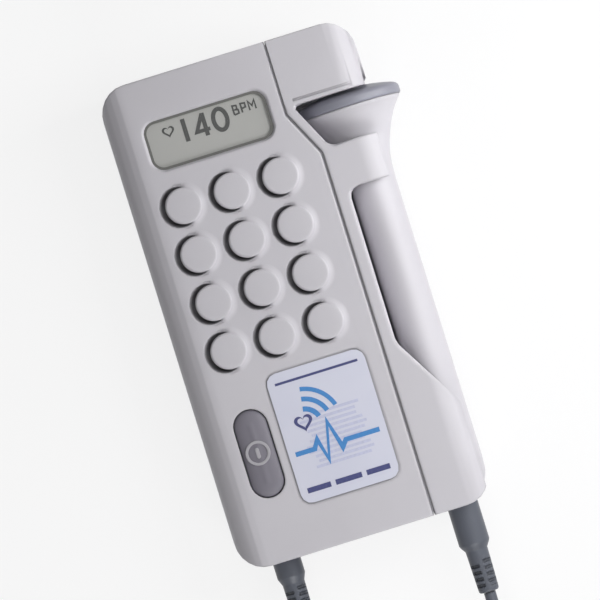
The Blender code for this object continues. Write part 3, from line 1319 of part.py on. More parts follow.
def make_board():
    """The main board and the larger pieces soldered on it."""
    board = prism("board_block", board_outline(), BOARD_LOW_Z, BOARD_HIGH_Z)
    carve(board, rods("board_holes", board_post_places(), SMALL_SHANK_RADIUS + GAP,
                      BOARD_LOW_Z - OVERRUN, BOARD_HIGH_Z + OVERRUN, 10))
    x, y, _ = wheel_place()
    carve(board, rod("shaft_hole", (x, y, BOARD_LOW_Z - OVERRUN), (x, y, BOARD_HIGH_Z + OVERRUN),
                     WHEEL_SHAFT_RADIUS + GAP, 12))
    as_part(board, "main_board", BOARD_GREEN)

    over = BOARD_HIGH_Z + GAP
    chip = box_around("chip", PROCESSOR_X, PROCESSOR_Y, PROCESSOR_SIZE, PROCESSOR_SIZE, over,
                      over + PROCESSOR_HEIGHT)
    as_part(chip, "signal_processor", BLACK_PLASTIC)
    chip = box_around("amplifier", AMPLIFIER_X, AMPLIFIER_Y, AMPLIFIER_WIDTH, AMPLIFIER_LENGTH,
                      over, over + PROCESSOR_HEIGHT)
    as_part(chip, "audio_amplifier", BLACK_PLASTIC)
    can = box_around("can", CLOCK_X, CLOCK_Y, CLOCK_WIDTH, CLOCK_LENGTH, over, over + CLOCK_HEIGHT)
    as_part(round_edges(can, CLOCK_LENGTH / 4), "clock_crystal", STEEL)

    under = BOARD_LOW_Z - GAP
    shield = box_around("shield", SHIELD_X, SHIELD_Y, SHIELD_WIDTH, SHIELD_LENGTH,
                        under - SHIELD_HEIGHT, under)
    as_part(round_edges(shield, GAP, 1), "receiver_shield", STEEL)
    header_x = LEAD_ROUTE[-1][0]
    header = box_around("probe_header_block", header_x, PROBE_HEADER_Y, PROBE_HEADER_WIDTH,
                        PROBE_HEADER_LENGTH, under - PROBE_HEADER_HEIGHT, under)
    as_part(header, "probe_header", CERAMIC)
    lead = smooth_route(LEAD_ROUTE, 2 * LEAD_RADIUS)[0]
    as_part(tube("lead", lead, LEAD_RADIUS, 1), "unit_lead", BLACK_PLASTIC)


def make_top_end():
    """The volume wheel, its potentiometer and the headphone socket."""
    x, y, low = wheel_place()
    outline = []
    for index in range(2 * WHEEL_RIDGES):
        angle = math.pi * index / WHEEL_RIDGES
        radius = WHEEL_RADIUS - WHEEL_RIDGE_DEPTH * (index % 2)
        outline.append((x + radius * math.cos(angle), y + radius * math.sin(angle)))
    wheel = prism("wheel_rim", outline, low, low + WHEEL_THICKNESS)
    shaft_top = BOARD_HIGH_Z + GAP + POT_WELL - GAP
    attach(wheel, rod("wheel_shaft", (x, y, low + GAP), (x, y, shaft_top), WHEEL_SHAFT_RADIUS, 12))
    as_part(wheel, "volume_wheel", BLACK_PLASTIC, (x, y, low))

    base = BOARD_HIGH_Z + GAP
    pot = box_around("pot_block", x, y, POT_SIZE, POT_SIZE, base, base + POT_HEIGHT)
    carve(pot, rod("pot_well", (x, y, base - OVERRUN), (x, y, base + POT_WELL),
                   WHEEL_SHAFT_RADIUS + GAP, 12))
    as_part(pot, "volume_pot", STEEL)

    high = BOARD_LOW_Z - GAP
    front_y = HALF_LENGTH - WALL - GAP
    jack = box("jack_block", (JACK_X - JACK_WIDTH / 2, front_y - JACK_LENGTH, high - JACK_HEIGHT),
               (JACK_X + JACK_WIDTH / 2, front_y, high))
    level = high - JACK_HEIGHT / 2
    nose_y = HALF_LENGTH - JACK_NOSE_SINK
    attach(jack, rod("jack_nose", (JACK_X, front_y - JACK_NOSE_SINK, level), (JACK_X, nose_y, level),
                     JACK_NOSE_RADIUS - TANGENT_SLACK))
    carve(jack, rod("jack_bore", (JACK_X, nose_y - JACK_BORE_DEPTH, level),
                    (JACK_X, nose_y + OVERRUN, level), JACK_BORE_RADIUS, 12))
    as_part(jack, "headphone_socket", BLACK_PLASTIC)


def make_screws():
    """Case screws from the back, board screws from the front and holder screws from the side."""
    for index, (x, y) in enumerate(case_boss_places()):
        screw(f"case_screw_{index + 1}", (x, y, SCREW_SINK), (0.0, 0.0, 1.0), SCREW_HEAD_RADIUS,
              SCREW_HEAD_HEIGHT, SCREW_SHANK_RADIUS, SCREW_LENGTH)
    for index, (x, y) in enumerate(board_post_places()):
        screw(f"board_screw_{index + 1}", (x, y, BOARD_HIGH_Z + GAP), (0.0, 0.0, -1.0),
              SMALL_HEAD_RADIUS, SMALL_HEAD_HEIGHT, SMALL_SHANK_RADIUS, SMALL_SCREW_LENGTH)
    head_x = SEAM_LOW_X - GAP / 2 - WALL - GAP
    for index, y in enumerate((HOLDER_SCREW_UP_Y, HOLDER_SCREW_LOW_Y)):
        screw(f"holder_screw_{index + 1}", (head_x, y, HOLDER_SCREW_Z), (1.0, 0.0, 0.0),
              SCREW_HEAD_RADIUS, SCREW_HEAD_HEIGHT / 2, SCREW_SHANK_RADIUS, HOLDER_SCREW_LENGTH)


def pocket_outline():
    """The head pocket's window in the front wall, with rounded corners on its left."""
    outer = HALF_WIDTH + OVERRUN
    slope = (SEAM_LOW_X - SEAM_TOP_X) / (SEAM_TOP_Y - SEAM_LOW_Y)
    low_x = POCKET_LEFT_X + slope * (POCKET_LEFT_Y - POCKET_LOW_Y)
    return [
        (outer, POCKET_LOW_Y),
        (outer, LIP_LOW_Y),
        (POCKET_LEFT_X + 2 * POCKET_CORNER, LIP_LOW_Y),
        (POCKET_LEFT_X + POCKET_CORNER / 2, LIP_LOW_Y - POCKET_CORNER / 4),
        (POCKET_LEFT_X, POCKET_LEFT_Y),
        (low_x - slope * POCKET_CORNER, POCKET_LOW_Y + POCKET_CORNER),
        (low_x + POCKET_CORNER / 3, POCKET_LOW_Y + POCKET_CORNER / 3),
        (low_x + POCKET_CORNER * 3 / 2, POCKET_LOW_Y),
    ]


def rear_window(name):
    """The opening in the back wall that the round head bulges into."""
    chord = math.sqrt(HEAD_RADIUS**2 - (MID_Z - BAY_FRONT_WALL) ** 2)
    return box(name, (PROBE_X - chord - GAP, POCKET_LOW_Y, -OVERRUN),
               (HALF_WIDTH + OVERRUN, LIP_LOW_Y, MID_Z))


def head_space_outline():
    """The space for the head between the front and back walls, which runs along the seam."""
    outer = HALF_WIDTH + OVERRUN
    seam = seam_points(-(GAP / 2 + POCKET_WALL))
    return [
        (outer, WAIST_Y - OVERRUN),
        (outer, POCKET_TOP_Y),
        (seam[1][0] + POCKET_WALL, POCKET_TOP_Y),
        (seam[1][0] + POCKET_WALL, seam[1][1]),
        seam[1],
        seam[2],
        (BAY_LEFT_X, WAIST_Y),
        (BAY_LEFT_X, WAIST_Y - OVERRUN),
    ]


def recess_outline():
    """The finger recess's window: a round corner at the top, slanted at the bottom."""
    outer = HALF_WIDTH + OVERRUN
    slope = (RECESS_LOW_LEFT_Y - RECESS_LOW_RIGHT_Y) / (FREE_EDGE_X - BAY_LEFT_X)
    outline = [
        (outer, RECESS_LOW_LEFT_Y - slope * (outer - BAY_LEFT_X)),
        (outer, RECESS_TOP_Y),
    ]
    for step in range(SMALL_ROUND_STEPS + 1):
        angle = math.radians(90.0) * (1 + step / SMALL_ROUND_STEPS)
        outline.append((BAY_LEFT_X + RECESS_CORNER * (1 + math.cos(angle)),
                        RECESS_TOP_Y - RECESS_CORNER * (1 - math.sin(angle))))
    outline += [
        (BAY_LEFT_X, RECESS_LOW_LEFT_Y + RECESS_CORNER / 3),
        (BAY_LEFT_X + RECESS_CORNER / 6, RECESS_LOW_LEFT_Y - slope * RECESS_CORNER / 6),
    ]
    return outline


def make_holder():
    """The side moulding that the probe lies in."""
    outer = HALF_WIDTH + OVERRUN
    inner_low = BAY_FRONT_WALL
    inner_high = CASE_DEPTH - BAY_FRONT_WALL
    bay_low_y = -HALF_LENGTH + BAY_END_WALL
    holder = case_block("holder_block", 0.0)
    keep(holder, right_of_seam("holder_side", GAP / 2, -OVERRUN, CASE_DEPTH + OVERRUN))
    carve(holder, box("handle_channel", (BAY_LEFT_X, bay_low_y, inner_low),
                      (outer, SEAM_LOW_Y, inner_high)))
    carve(holder, prism("head_space", head_space_outline(), inner_low, inner_high))
    carve(holder, prism("head_window", pocket_outline(), MID_Z, CASE_DEPTH + OVERRUN))
    carve(holder, rear_window("rear_window"))
    carve(holder, box("lip_groove", (POCKET_LEFT_X, LIP_TOP_Y, CASE_DEPTH - LIP_GROOVE),
                      (outer, POCKET_TOP_Y, CASE_DEPTH + OVERRUN)))
    carve(holder, prism("finger_recess", recess_outline(), MID_Z, CASE_DEPTH + OVERRUN))
    carve(holder, box("free_edge", (FREE_EDGE_X, bay_low_y, -OVERRUN),
                      (outer, LIP_LOW_Y, CASE_DEPTH + OVERRUN)))
    hollow = case_block("top_hollow", WALL)
    keep(hollow, box("top_hollow_side", (0.0, POCKET_TOP_Y + WALL, -OVERRUN),
                     (outer, HALF_LENGTH + OVERRUN, CASE_DEPTH + OVERRUN)))
    carve(holder, hollow)
    slot_radius = PROBE_BOOT_RADIUS + CABLE_SLOT_PLAY
    slot_start = (BOOT_X, -HALF_LENGTH - OVERRUN, MID_Z)
    carve(holder, rod("cable_slot", slot_start, (BOOT_X, bay_low_y + OVERRUN, MID_Z), slot_radius, 20))
    carve(holder, box("cable_way", (BOOT_X, -HALF_LENGTH - OVERRUN, MID_Z - slot_radius),
                      (outer, bay_low_y + OVERRUN, MID_Z + slot_radius)))
    tip = SEAM_LOW_X - GAP / 2 - WALL - GAP + HOLDER_SCREW_LENGTH + GAP
    for y in (HOLDER_SCREW_UP_Y, HOLDER_SCREW_LOW_Y):
        carve(holder, rod("holder_pilot", (SEAM_LOW_X - OVERRUN, y, HOLDER_SCREW_Z),
                          (tip, y, HOLDER_SCREW_Z), SCREW_SHANK_RADIUS + GAP, 12))
    as_part(holder, "probe_holder", CASE_GREY)


def oval(centre_x, y, half_width, half_depth):
    """A ring of points round the probe's axis, in a plane across it."""
    ring = []
    for index in range(HANDLE_SIDES):
        angle = 2 * math.pi * index / HANDLE_SIDES
        x = centre_x + half_width * math.cos(angle)
        ring.append((x, y, MID_Z + half_depth * math.sin(angle)))
    return ring


def flare_radius(y):
    """The neck's outer radius on its way out to the head."""
    rise = (HEAD_RADIUS - FACE_ROUND - NECK_RADIUS) / (FACE_LOW_Y - GAP - NECK_Y)
    return NECK_RADIUS + rise * (y - NECK_Y)


def handle_rings(inset, low_y, top_y):
    """Rings of the handle's skin from its lower end, up the grip and out to the head."""
    length = WAIST_Y - HANDLE_LOW_Y
    rings = []
    tables = zip(HANDLE_HEIGHT_SHARES, HANDLE_WIDTH_SHARES, HANDLE_DEPTH_SHARES, HANDLE_LEAN_SHARES)
    for height, width, depth, lean in tables:
        y = HANDLE_LOW_Y + height * length
        if y >= low_y:
            rings.append(oval(PROBE_X - lean * (PROBE_X - BOOT_X), y,
                              HANDLE_HALF_WIDTH * width - inset, HANDLE_HALF_DEPTH * depth - inset))
    rings.append(oval(PROBE_X, WAIST_Y, HANDLE_HALF_WIDTH + HANDLE_TOP_SPREAD - inset,
                      (HANDLE_HALF_DEPTH + NECK_RADIUS) / 2 - inset))
    for y in (NECK_Y, FACE_LOW_Y - GAP):
        radius = flare_radius(y) - inset
        rings.append(oval(PROBE_X, y, radius, radius))
    if top_y > rings[-1][0][1]:
        rings.append([(x, top_y, z) for x, _, z in rings[-1]])
    return rings


def make_probe():
    """The probe: handle, face, and what its head holds."""
    face_base = FACE_LOW_Y - GAP
    handle = loft("handle_skin", handle_rings(0.0, HANDLE_LOW_Y, 0.0))
    hollow = loft("handle_hollow", handle_rings(PROBE_SKIN, HOLLOW_LOW_Y, face_base + OVERRUN))
    cable_way = rod("cable_way_in_handle", (BOOT_X, HANDLE_LOW_Y - OVERRUN, MID_Z),
                    (BOOT_X, HOLLOW_LOW_Y + OVERRUN, MID_Z), PROBE_BOOT_SPIGOT_RADIUS + GAP, 12)
    carve(handle, hollow, cable_way)
    as_part(handle, "probe_handle", CASE_GREY, (PROBE_X, 0.0, MID_Z), probe_frame)

    rise = FACE_TOP_Y - FACE_EDGE_Y
    dome = (HEAD_RADIUS**2 + rise**2) / (2 * rise)
    profile = []
    for share in DOME_RING_SHARES:
        radius = HEAD_RADIUS * share
        drop = dome - math.sqrt(dome**2 - radius**2)
        profile.append((radius, FACE_TOP_Y - FACE_LOW_Y - drop))
    profile += [
        (HEAD_RADIUS - FACE_ROUND, FACE_EDGE_Y - FACE_LOW_Y + FACE_ROUND / 4),
        (HEAD_RADIUS, FACE_EDGE_Y - FACE_LOW_Y - FACE_ROUND),
        (HEAD_RADIUS, FACE_ROUND),
        (HEAD_RADIUS - FACE_ROUND, 0.0),
        (0.0, 0.0),
    ]
    face = turned("face", profile, (PROBE_X, FACE_LOW_Y, MID_Z), (0.0, 1.0, 0.0), 32)
    as_part(face, "probe_faceplate", FACE_BLUE, parent=probe_frame)

    crystal_high = FACE_LOW_Y - GAP
    crystal_low = crystal_high - CRYSTAL_THICKNESS
    for name, side in (("transmit_crystal", -1), ("receive_crystal", 1)):
        half = rod(name + "_disc", (PROBE_X, crystal_low, MID_Z), (PROBE_X, crystal_high, MID_Z),
                   CRYSTAL_RADIUS, 20)
        near = PROBE_X + side * CRYSTAL_SPLIT / 2
        far = PROBE_X + side * (CRYSTAL_RADIUS + OVERRUN)
        keep(half, box(name + "_half", (min(near, far), crystal_low - OVERRUN, 0.0),
                       (max(near, far), crystal_high + OVERRUN, CASE_DEPTH)))
        as_part(half, name, CERAMIC, (PROBE_X, 0.0, MID_Z), probe_frame)
    backing_high = crystal_low - GAP
    backing_low = backing_high - BACKING_THICKNESS
    flat = math.cos(math.pi / HANDLE_SIDES)
    low_radius, high_radius = [
        (flare_radius(y) - PROBE_SKIN) * flat - GAP for y in (backing_low, backing_high)
    ]
    backing = rod("backing", (PROBE_X, backing_low, MID_Z), (PROBE_X, backing_high, MID_Z),
                  low_radius, 20, high_radius)
    as_part(backing, "crystal_backing", FOAM, (PROBE_X, 0.0, MID_Z), probe_frame)
    half = PROBE_BOARD_THICKNESS / 2
    board = box("probe_board_block",
                (PROBE_X - half, PROBE_BOARD_LOW_Y, MID_Z - PROBE_BOARD_HALF_WIDTH),
                (PROBE_X + half, PROBE_BOARD_TOP_Y, MID_Z + PROBE_BOARD_HALF_WIDTH))
    as_part(board, "probe_board", BOARD_GREEN, (PROBE_X, 0.0, MID_Z), probe_frame)


def make_cable():
    """Both strain reliefs and the curly cable between them."""
    inside = HALF_LENGTH - WALL - GAP
    flange = UNIT_BOOT_FLANGE_THICKNESS
    start = -inside + flange
    neck_end = HALF_LENGTH + GAP - inside + flange
    length = start - BOOT_END_Y
    plain = boot_profile(UNIT_BOOT_RADIUS, UNIT_BOOT_PLAIN_LENGTH, length - neck_end)
    profile = [
        (0.0, 0.0),
        (UNIT_BOOT_FLANGE_RADIUS, 0.0),
        (UNIT_BOOT_FLANGE_RADIUS, flange),
        (UNIT_BOOT_NECK_RADIUS, flange),
        (UNIT_BOOT_NECK_RADIUS, neck_end),
    ]
    profile += [(radius, neck_end + place) for radius, place in plain]
    profile.reverse()
    shape = turned("unit_boot", profile, (UNIT_BOOT_X, start, MID_Z), (0.0, -1.0, 0.0), BOOT_SIDES)
    as_part(shape, "unit_strain_relief", DARK_RUBBER)

    start = HANDLE_LOW_Y - GAP
    spigot = PROBE_BOOT_SPIGOT_LENGTH
    plain = boot_profile(PROBE_BOOT_RADIUS, PROBE_BOOT_PLAIN_LENGTH, start - BOOT_END_Y)
    profile = [(0.0, -spigot), (PROBE_BOOT_SPIGOT_RADIUS, -spigot), (PROBE_BOOT_SPIGOT_RADIUS, 0.0)]
    profile = list(reversed(profile + plain))
    shape = turned("probe_boot", profile, (BOOT_X, start, MID_Z), (0.0, -1.0, 0.0), BOOT_SIDES)
    as_part(shape, "probe_strain_relief", DARK_RUBBER, parent=probe_frame)

    points = curly_points()
    gap = least_self_gap(points, CABLE_RADIUS)
    run = np.linalg.norm(np.diff(points, axis=0), axis=1).sum()
    print(f"cable: {run:.3f} m long, least gap to itself {gap * 1000:.2f} mm")
    if gap < COIL_SELF_GAP:
        print("cable: the curls are too close to each other")
    as_part(tube("cable", points, CABLE_RADIUS, 1), "curly_cord", DARK_RUBBER)


make_case()
make_holder()
make_display()
make_speaker()
make_button()
make_label()
make_battery()
make_board()
make_top_end()
make_screws()
make_probe()
make_cable()

for piece in parts.objects:
    if piece.type == "MESH":
        piece.data.shade_smooth()
        piece.data.set_sharp_from_angle(angle=math.radians(35.0))
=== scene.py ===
# %% [markdown]
# A pocket fetal doppler with its probe docked
#
# The moulded case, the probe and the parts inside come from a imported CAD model. This lesson
# dresses that model for a studio picture: a camera straight above, soft light from the right,
# moulded plastic with softened edges, a small display, a printed label and a curly cable.

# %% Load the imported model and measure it
import json
import math

import bmesh
import bpy
import numpy as np
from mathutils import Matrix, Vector


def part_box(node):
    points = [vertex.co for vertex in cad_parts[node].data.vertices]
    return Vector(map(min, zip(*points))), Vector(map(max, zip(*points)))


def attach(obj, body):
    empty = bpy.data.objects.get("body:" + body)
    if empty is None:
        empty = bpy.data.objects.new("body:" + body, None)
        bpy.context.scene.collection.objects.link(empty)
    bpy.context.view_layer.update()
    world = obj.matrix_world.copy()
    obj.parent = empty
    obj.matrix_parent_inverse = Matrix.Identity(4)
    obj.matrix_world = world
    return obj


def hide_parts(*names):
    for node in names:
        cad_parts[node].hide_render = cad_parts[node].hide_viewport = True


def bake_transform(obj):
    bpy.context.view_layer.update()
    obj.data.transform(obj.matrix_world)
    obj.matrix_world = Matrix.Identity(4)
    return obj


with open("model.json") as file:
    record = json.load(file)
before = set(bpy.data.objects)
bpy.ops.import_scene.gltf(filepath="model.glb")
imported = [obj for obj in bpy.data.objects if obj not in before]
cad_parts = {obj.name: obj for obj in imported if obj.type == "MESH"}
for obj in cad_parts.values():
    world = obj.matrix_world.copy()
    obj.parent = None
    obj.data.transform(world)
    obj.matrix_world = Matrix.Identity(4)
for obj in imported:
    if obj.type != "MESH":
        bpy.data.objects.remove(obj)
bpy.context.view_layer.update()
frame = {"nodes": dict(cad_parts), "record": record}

MM = 0.001
shell_low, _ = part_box("rear_case")
_, front_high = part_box("front_case")
holder_low, holder_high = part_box("probe_holder")
case_x = (shell_low.x + holder_high.x) / 2
case_y = (holder_low.y + holder_high.y) / 2
face_z = front_high.z
FACE_LEVEL = face_z / MM
MIDDLE_LEVEL = 15.0
print("case middle", round(case_x, 5), round(case_y, 5), "face at", round(face_z, 5))


def at(x, y, z=0.0):
    """A point given in millimetres from the middle of the case's back, in metres."""
    return Vector((case_x + x * MM, case_y + y * MM, z * MM))


# %% [markdown]
# The camera
#
# The picture looks straight down on the unit, which lies turned in the frame. Its outlines do not
# converge, while the round probe head shows a little of its curve, so the camera stands about a
# metre off with a long lens. The lens follows from that distance and from the width that the
# picture shows at the level of the face.

# %% Put the camera above the face
CAMERA_HEIGHT = 1.0
PICTURE_WIDTH = 0.1669
PICTURE_MIDDLE = (0.9, -1.7)
CAMERA_TURN = -17.25
camera_data = bpy.data.cameras.new("studio_camera")
camera_data.sensor_width = 36.0
camera_data.lens = camera_data.sensor_width * CAMERA_HEIGHT / PICTURE_WIDTH
camera_data.clip_end = 10.0
camera = bpy.data.objects.new("studio_camera", camera_data)
bpy.context.scene.collection.objects.link(camera)
camera.location = at(*PICTURE_MIDDLE) + Vector((0.0, 0.0, face_z + CAMERA_HEIGHT))
camera.rotation_euler = (0.0, 0.0, math.radians(CAMERA_TURN))
bpy.context.scene.camera = camera
print("lens", round(camera_data.lens, 1), "mm")

# %% [markdown]
# Surfaces from tables of points
#
# Every new piece here is a grid of points worked out with numpy. Rows follow one parameter of the
# shape and columns the other. One helper turns such a table into a mesh.


# %% Helpers that join a grid of points into a mesh
MERGE_DISTANCE = 1e-6
GRID_CREASE = 40.0


def grid_faces(rows, columns, caps=True, first=0):
    """The faces of a table of points that are numbered row by row from first.

    Neighbours in the table make four-sided faces, the last column joins the first, and caps closes
    the first and the last row with one face each.
    """
    index = first + np.arange(rows * columns).reshape(rows, columns)
    table = np.concatenate([index, index[:, :1]], axis=1)
    corners = (table[:-1, :-1], table[:-1, 1:], table[1:, 1:], table[1:, :-1])
    faces = np.stack(corners, axis=-1).reshape(-1, 4).tolist()
    if caps:
        faces += [index[0, ::-1].tolist(), index[-1].tolist()]
    return faces


def grid_piece(name, points, caps=True):
    """A piece from points of shape rows x columns x 3."""
    mesh = bpy.data.meshes.new(name)
    faces = grid_faces(*points.shape[:2], caps=caps)
    mesh.from_pydata(points.reshape(-1, 3).tolist(), [], faces)
    tidy_mesh(mesh)
    return place_piece(name, mesh)


def tidy_mesh(mesh):
    """Merges doubled points, turns all faces outwards and shades smooth up to the crease angle."""
    work = bmesh.new()
    work.from_mesh(mesh)
    bmesh.ops.remove_doubles(work, verts=work.verts, dist=MERGE_DISTANCE)
    bmesh.ops.recalc_face_normals(work, faces=work.faces)
    work.to_mesh(mesh)
    work.free()
    mesh.shade_smooth()
    mesh.set_sharp_from_angle(angle=math.radians(GRID_CREASE))


def place_piece(name, mesh):
    """Puts a finished mesh into the scene as an object at the origin."""
    piece = bpy.data.objects.new(name, mesh)
    bpy.context.scene.collection.objects.link(piece)
    return piece


# %% [markdown]
# The curly cable
#
# The cable leaves the strain relief of the case, curls round in a bow behind the lower end and
# comes back to the probe's strain relief. It is wound on a rod when it is made, so its middle line
# is a helix laid along a smooth route. The straight leads at both ends let the curls grow slowly.

# %% Lay the route and wind the curls
CABLE_RADIUS = 0.0017
CURL_RADIUS = 0.0048
CURL_PITCH = 0.0051
CURL_GROWTH = 0.0100
CURL_START = 0.0200
POINTS_PER_CURL = 24
cable_route = np.array([
    (0.02335, -0.0833, 0.0150),
    (0.02335, -0.0880, 0.0150),
    (0.02385, -0.0950, 0.0128),
    (0.02525, -0.1030, 0.0085),
    (0.02665, -0.1130, 0.0069),
    (0.02755, -0.1270, 0.0066),
    (0.02795, -0.1440, 0.0066),
    (0.02395, -0.1592, 0.0066),
    (0.01275, -0.1704, 0.0066),
    (-0.00255, -0.1745, 0.0066),
    (-0.01775, -0.1704, 0.0066),
    (-0.02895, -0.1592, 0.0066),
    (-0.03305, -0.1440, 0.0066),
    (-0.03265, -0.1270, 0.0066),
    (-0.03175, -0.1130, 0.0069),
    (-0.03045, -0.1030, 0.0085),
    (-0.02925, -0.0950, 0.0128),
    (-0.02875, -0.0880, 0.0150),
    (-0.02875, -0.0833, 0.0150),
])


def smooth_route(points, step):
    """Even steps along a curve that passes through all points with no corner.

    Between two points the curve is the cubic whose slope at each is half the chord between its
    neighbours.
    """
    ends = [2 * points[0] - points[1]], [2 * points[-1] - points[-2]]
    padded = np.vstack([ends[0], points, ends[1]])
    before, start, end, after = padded[:-3], padded[1:-2], padded[2:-1], padded[3:]
    share = np.linspace(0.0, 1.0, 40, endpoint=False)[None, :, None]
    before, start, end, after = (p[:, None, :] for p in (before, start, end, after))
    cubic = (start + share * (end - before) / 2
             + share**2 * (2 * before - 5 * start + 4 * end - after) / 2
             + share**3 * (3 * start - before - 3 * end + after) / 2)
    line = np.vstack([cubic.reshape(-1, points.shape[1]), points[-1:]])
    reach = np.concatenate([[0.0], np.cumsum(np.linalg.norm(np.diff(line, axis=0), axis=1))])
    places = np.linspace(0.0, reach[-1], int(round(reach[-1] / step)) + 1)
    columns = [np.interp(places, reach, line[:, axis]) for axis in range(points.shape[1])]
    return np.stack(columns, axis=1), places


def unit(vectors):
    """Vectors with their length made one."""
    return vectors / np.linalg.norm(vectors, axis=-1, keepdims=True)


route, places = smooth_route(cable_route, CURL_PITCH / POINTS_PER_CURL)
forward = unit(np.gradient(route, axis=0))
sideways = unit(np.cross(forward, (0.0, 0.0, 1.0)))
upward = np.cross(sideways, forward)
from_end = np.minimum(places, places[-1] - places)
grown = np.clip((from_end - CURL_START) / CURL_GROWTH, 0.0, 1.0)
grown = grown * grown * (3 - 2 * grown)
turn = 2 * math.pi * np.cumsum(grown) / POINTS_PER_CURL
outward = np.cos(turn)[:, None] * sideways + np.sin(turn)[:, None] * upward
cable_line = route + CURL_RADIUS * grown[:, None] * outward

# %% Carry a circle along the cable's line
CABLE_SIDES = 12
along_cable = unit(np.gradient(cable_line, axis=0))
first_axis = unit(outward - (outward * along_cable).sum(axis=1)[:, None] * along_cable)
second_axis = np.cross(along_cable, first_axis)
ring_angle = np.linspace(0.0, 2 * math.pi, CABLE_SIDES, endpoint=False)
skin = (cable_line[:, None, :]
        + CABLE_RADIUS * np.cos(ring_angle)[None, :, None] * first_axis[:, None, :]
        + CABLE_RADIUS * np.sin(ring_angle)[None, :, None] * second_axis[:, None, :])
curly_cable = grid_piece("curly_cable", skin)
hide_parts("curly_cord")
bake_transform(curly_cable)
print("cable skin", len(curly_cable.data.polygons), "faces")

# %% [markdown]
# Floor, backdrop and light
#
# The studio is plain: a pale floor that takes the unit's soft shadow, and a white background. The
# main lamp is a long soft panel close by on the right, so its light falls off across the face, and
# it is low enough to leave the left rounding of the case in shade. A weak panel above and one near
# the lower end fill in. The world is white where the camera, a reflection or clear plastic looks
# straight at it, and dim where it only lights the unit.


# %% A node helper for materials
class Recipe:
    """A material's node tree, with short calls to add nodes and join their sockets."""

    def __init__(self, name):
        self.material = bpy.data.materials.new(name)
        self.material.use_nodes = True
        self.tree = self.material.node_tree
        self.shader = self.tree.nodes["Principled BSDF"]
        self.output = self.tree.nodes["Material Output"]

    def node(self, kind, inputs=None, **settings):
        """Adds a node, sets its properties, and fills its inputs with values or other sockets."""
        made = self.tree.nodes.new("ShaderNode" + kind)
        for key, value in settings.items():
            setattr(made, key, value)
        for key, value in (inputs or {}).items():
            self.feed(made.inputs[key], value)
        return made

    def feed(self, socket, value):
        """Joins a socket to another one, or writes a plain value into it."""
        if isinstance(value, bpy.types.NodeSocket):
            self.tree.links.new(value, socket)
        elif isinstance(value, bpy.types.Node):
            self.tree.links.new(value.outputs[0], socket)
        else:
            socket.default_value = value

    def place(self, scale=(1.0, 1.0, 1.0)):
        """The piece's own coordinates, scaled."""
        own = self.node("TexCoord").outputs["Object"]
        return self.node("Mapping", {"Vector": own, "Scale": scale}).outputs[0]

    def noise(self, scale, detail=2.0, roughness=0.5, vector=None):
        """A noise pattern on the piece's own coordinates."""
        inputs = {"Vector": vector or self.place(), "Scale": scale, "Detail": detail,
                  "Roughness": roughness}
        return self.node("TexNoise", inputs).outputs["Fac"]

    def spread(self, value, low, high, start=0.3, end=0.7):
        """A pattern's value, stretched from its usual range to the range that is wanted."""
        inputs = {"Value": value, "From Min": start, "From Max": end, "To Min": low, "To Max": high}
        return self.node("MapRange", inputs).outputs[0]

    def mix(self, factor, first, second):
        """Two colours mixed by a factor."""
        made = self.node("Mix", data_type="RGBA")
        self.feed(made.inputs[0], factor)
        self.feed(made.inputs[6], first)
        self.feed(made.inputs[7], second)
        return made.outputs[2]

    def bump(self, height, strength, distance, under=None):
        """A surface relief from a pattern, on top of an earlier relief if there is one."""
        inputs = {"Height": height, "Strength": strength, "Distance": distance}
        if under is not None:
            inputs["Normal"] = under
        return self.node("Bump", inputs).outputs[0]

    def crevice(self, reach):
        """How open the surface is within a reach: near nought in a gap, one on an open face."""
        return self.node("AmbientOcclusion", {"Distance": reach}, samples=8).outputs["AO"]

    def soft_edge(self, radius):
        """A normal that rounds sharp edges over a radius."""
        return self.node("Bevel", {"Radius": radius}, samples=6).outputs[0]


def colour(red, green, blue):
    """A colour with full cover."""
    return (red, green, blue, 1.0)


def looked_at(tree):
    """A socket that is one for a look from the camera, a reflection or clear plastic, else zero."""
    rays = tree.nodes.new("ShaderNodeLightPath")
    seen = rays.outputs["Is Camera Ray"]
    for kind in ("Is Glossy Ray", "Is Transmission Ray"):
        larger = tree.nodes.new("ShaderNodeMath")
        larger.operation = "MAXIMUM"
        tree.links.new(seen, larger.inputs[0])
        tree.links.new(rays.outputs[kind], larger.inputs[1])
        seen = larger.outputs[0]
    return seen


# %% The floor and the white world
FLOOR_HALF = 3.0
FLOOR_LEVEL = -0.0002
FLOOR_GLOW = 0.82
FILL_STRENGTH = 0.10
floor_mesh = bpy.data.meshes.new("studio_floor")
corners = [(-FLOOR_HALF, -FLOOR_HALF, 0.0), (FLOOR_HALF, -FLOOR_HALF, 0.0),
           (FLOOR_HALF, FLOOR_HALF, 0.0), (-FLOOR_HALF, FLOOR_HALF, 0.0)]
floor_mesh.from_pydata(corners, [], [(0, 1, 2, 3)])
studio_floor = place_piece("studio_floor", floor_mesh)
studio_floor.location.z = FLOOR_LEVEL

floor = Recipe("floor_paper")
floor.shader.inputs["Roughness"].default_value = 0.9
floor.feed(floor.shader.inputs["Base Color"],
           floor.mix(floor.noise(4.0), colour(0.86, 0.87, 0.88), colour(0.90, 0.90, 0.91)))
glow = floor.node("Emission", {"Color": colour(1.0, 1.0, 1.0), "Strength": 1.0})
share = floor.node("Math", {0: looked_at(floor.tree), 1: FLOOR_GLOW}, operation="MULTIPLY")
mixed = floor.node("MixShader", {0: share, 1: floor.shader.outputs[0], 2: glow.outputs[0]})
floor.feed(floor.output.inputs["Surface"], mixed.outputs[0])
floor_mesh.materials.append(floor.material)

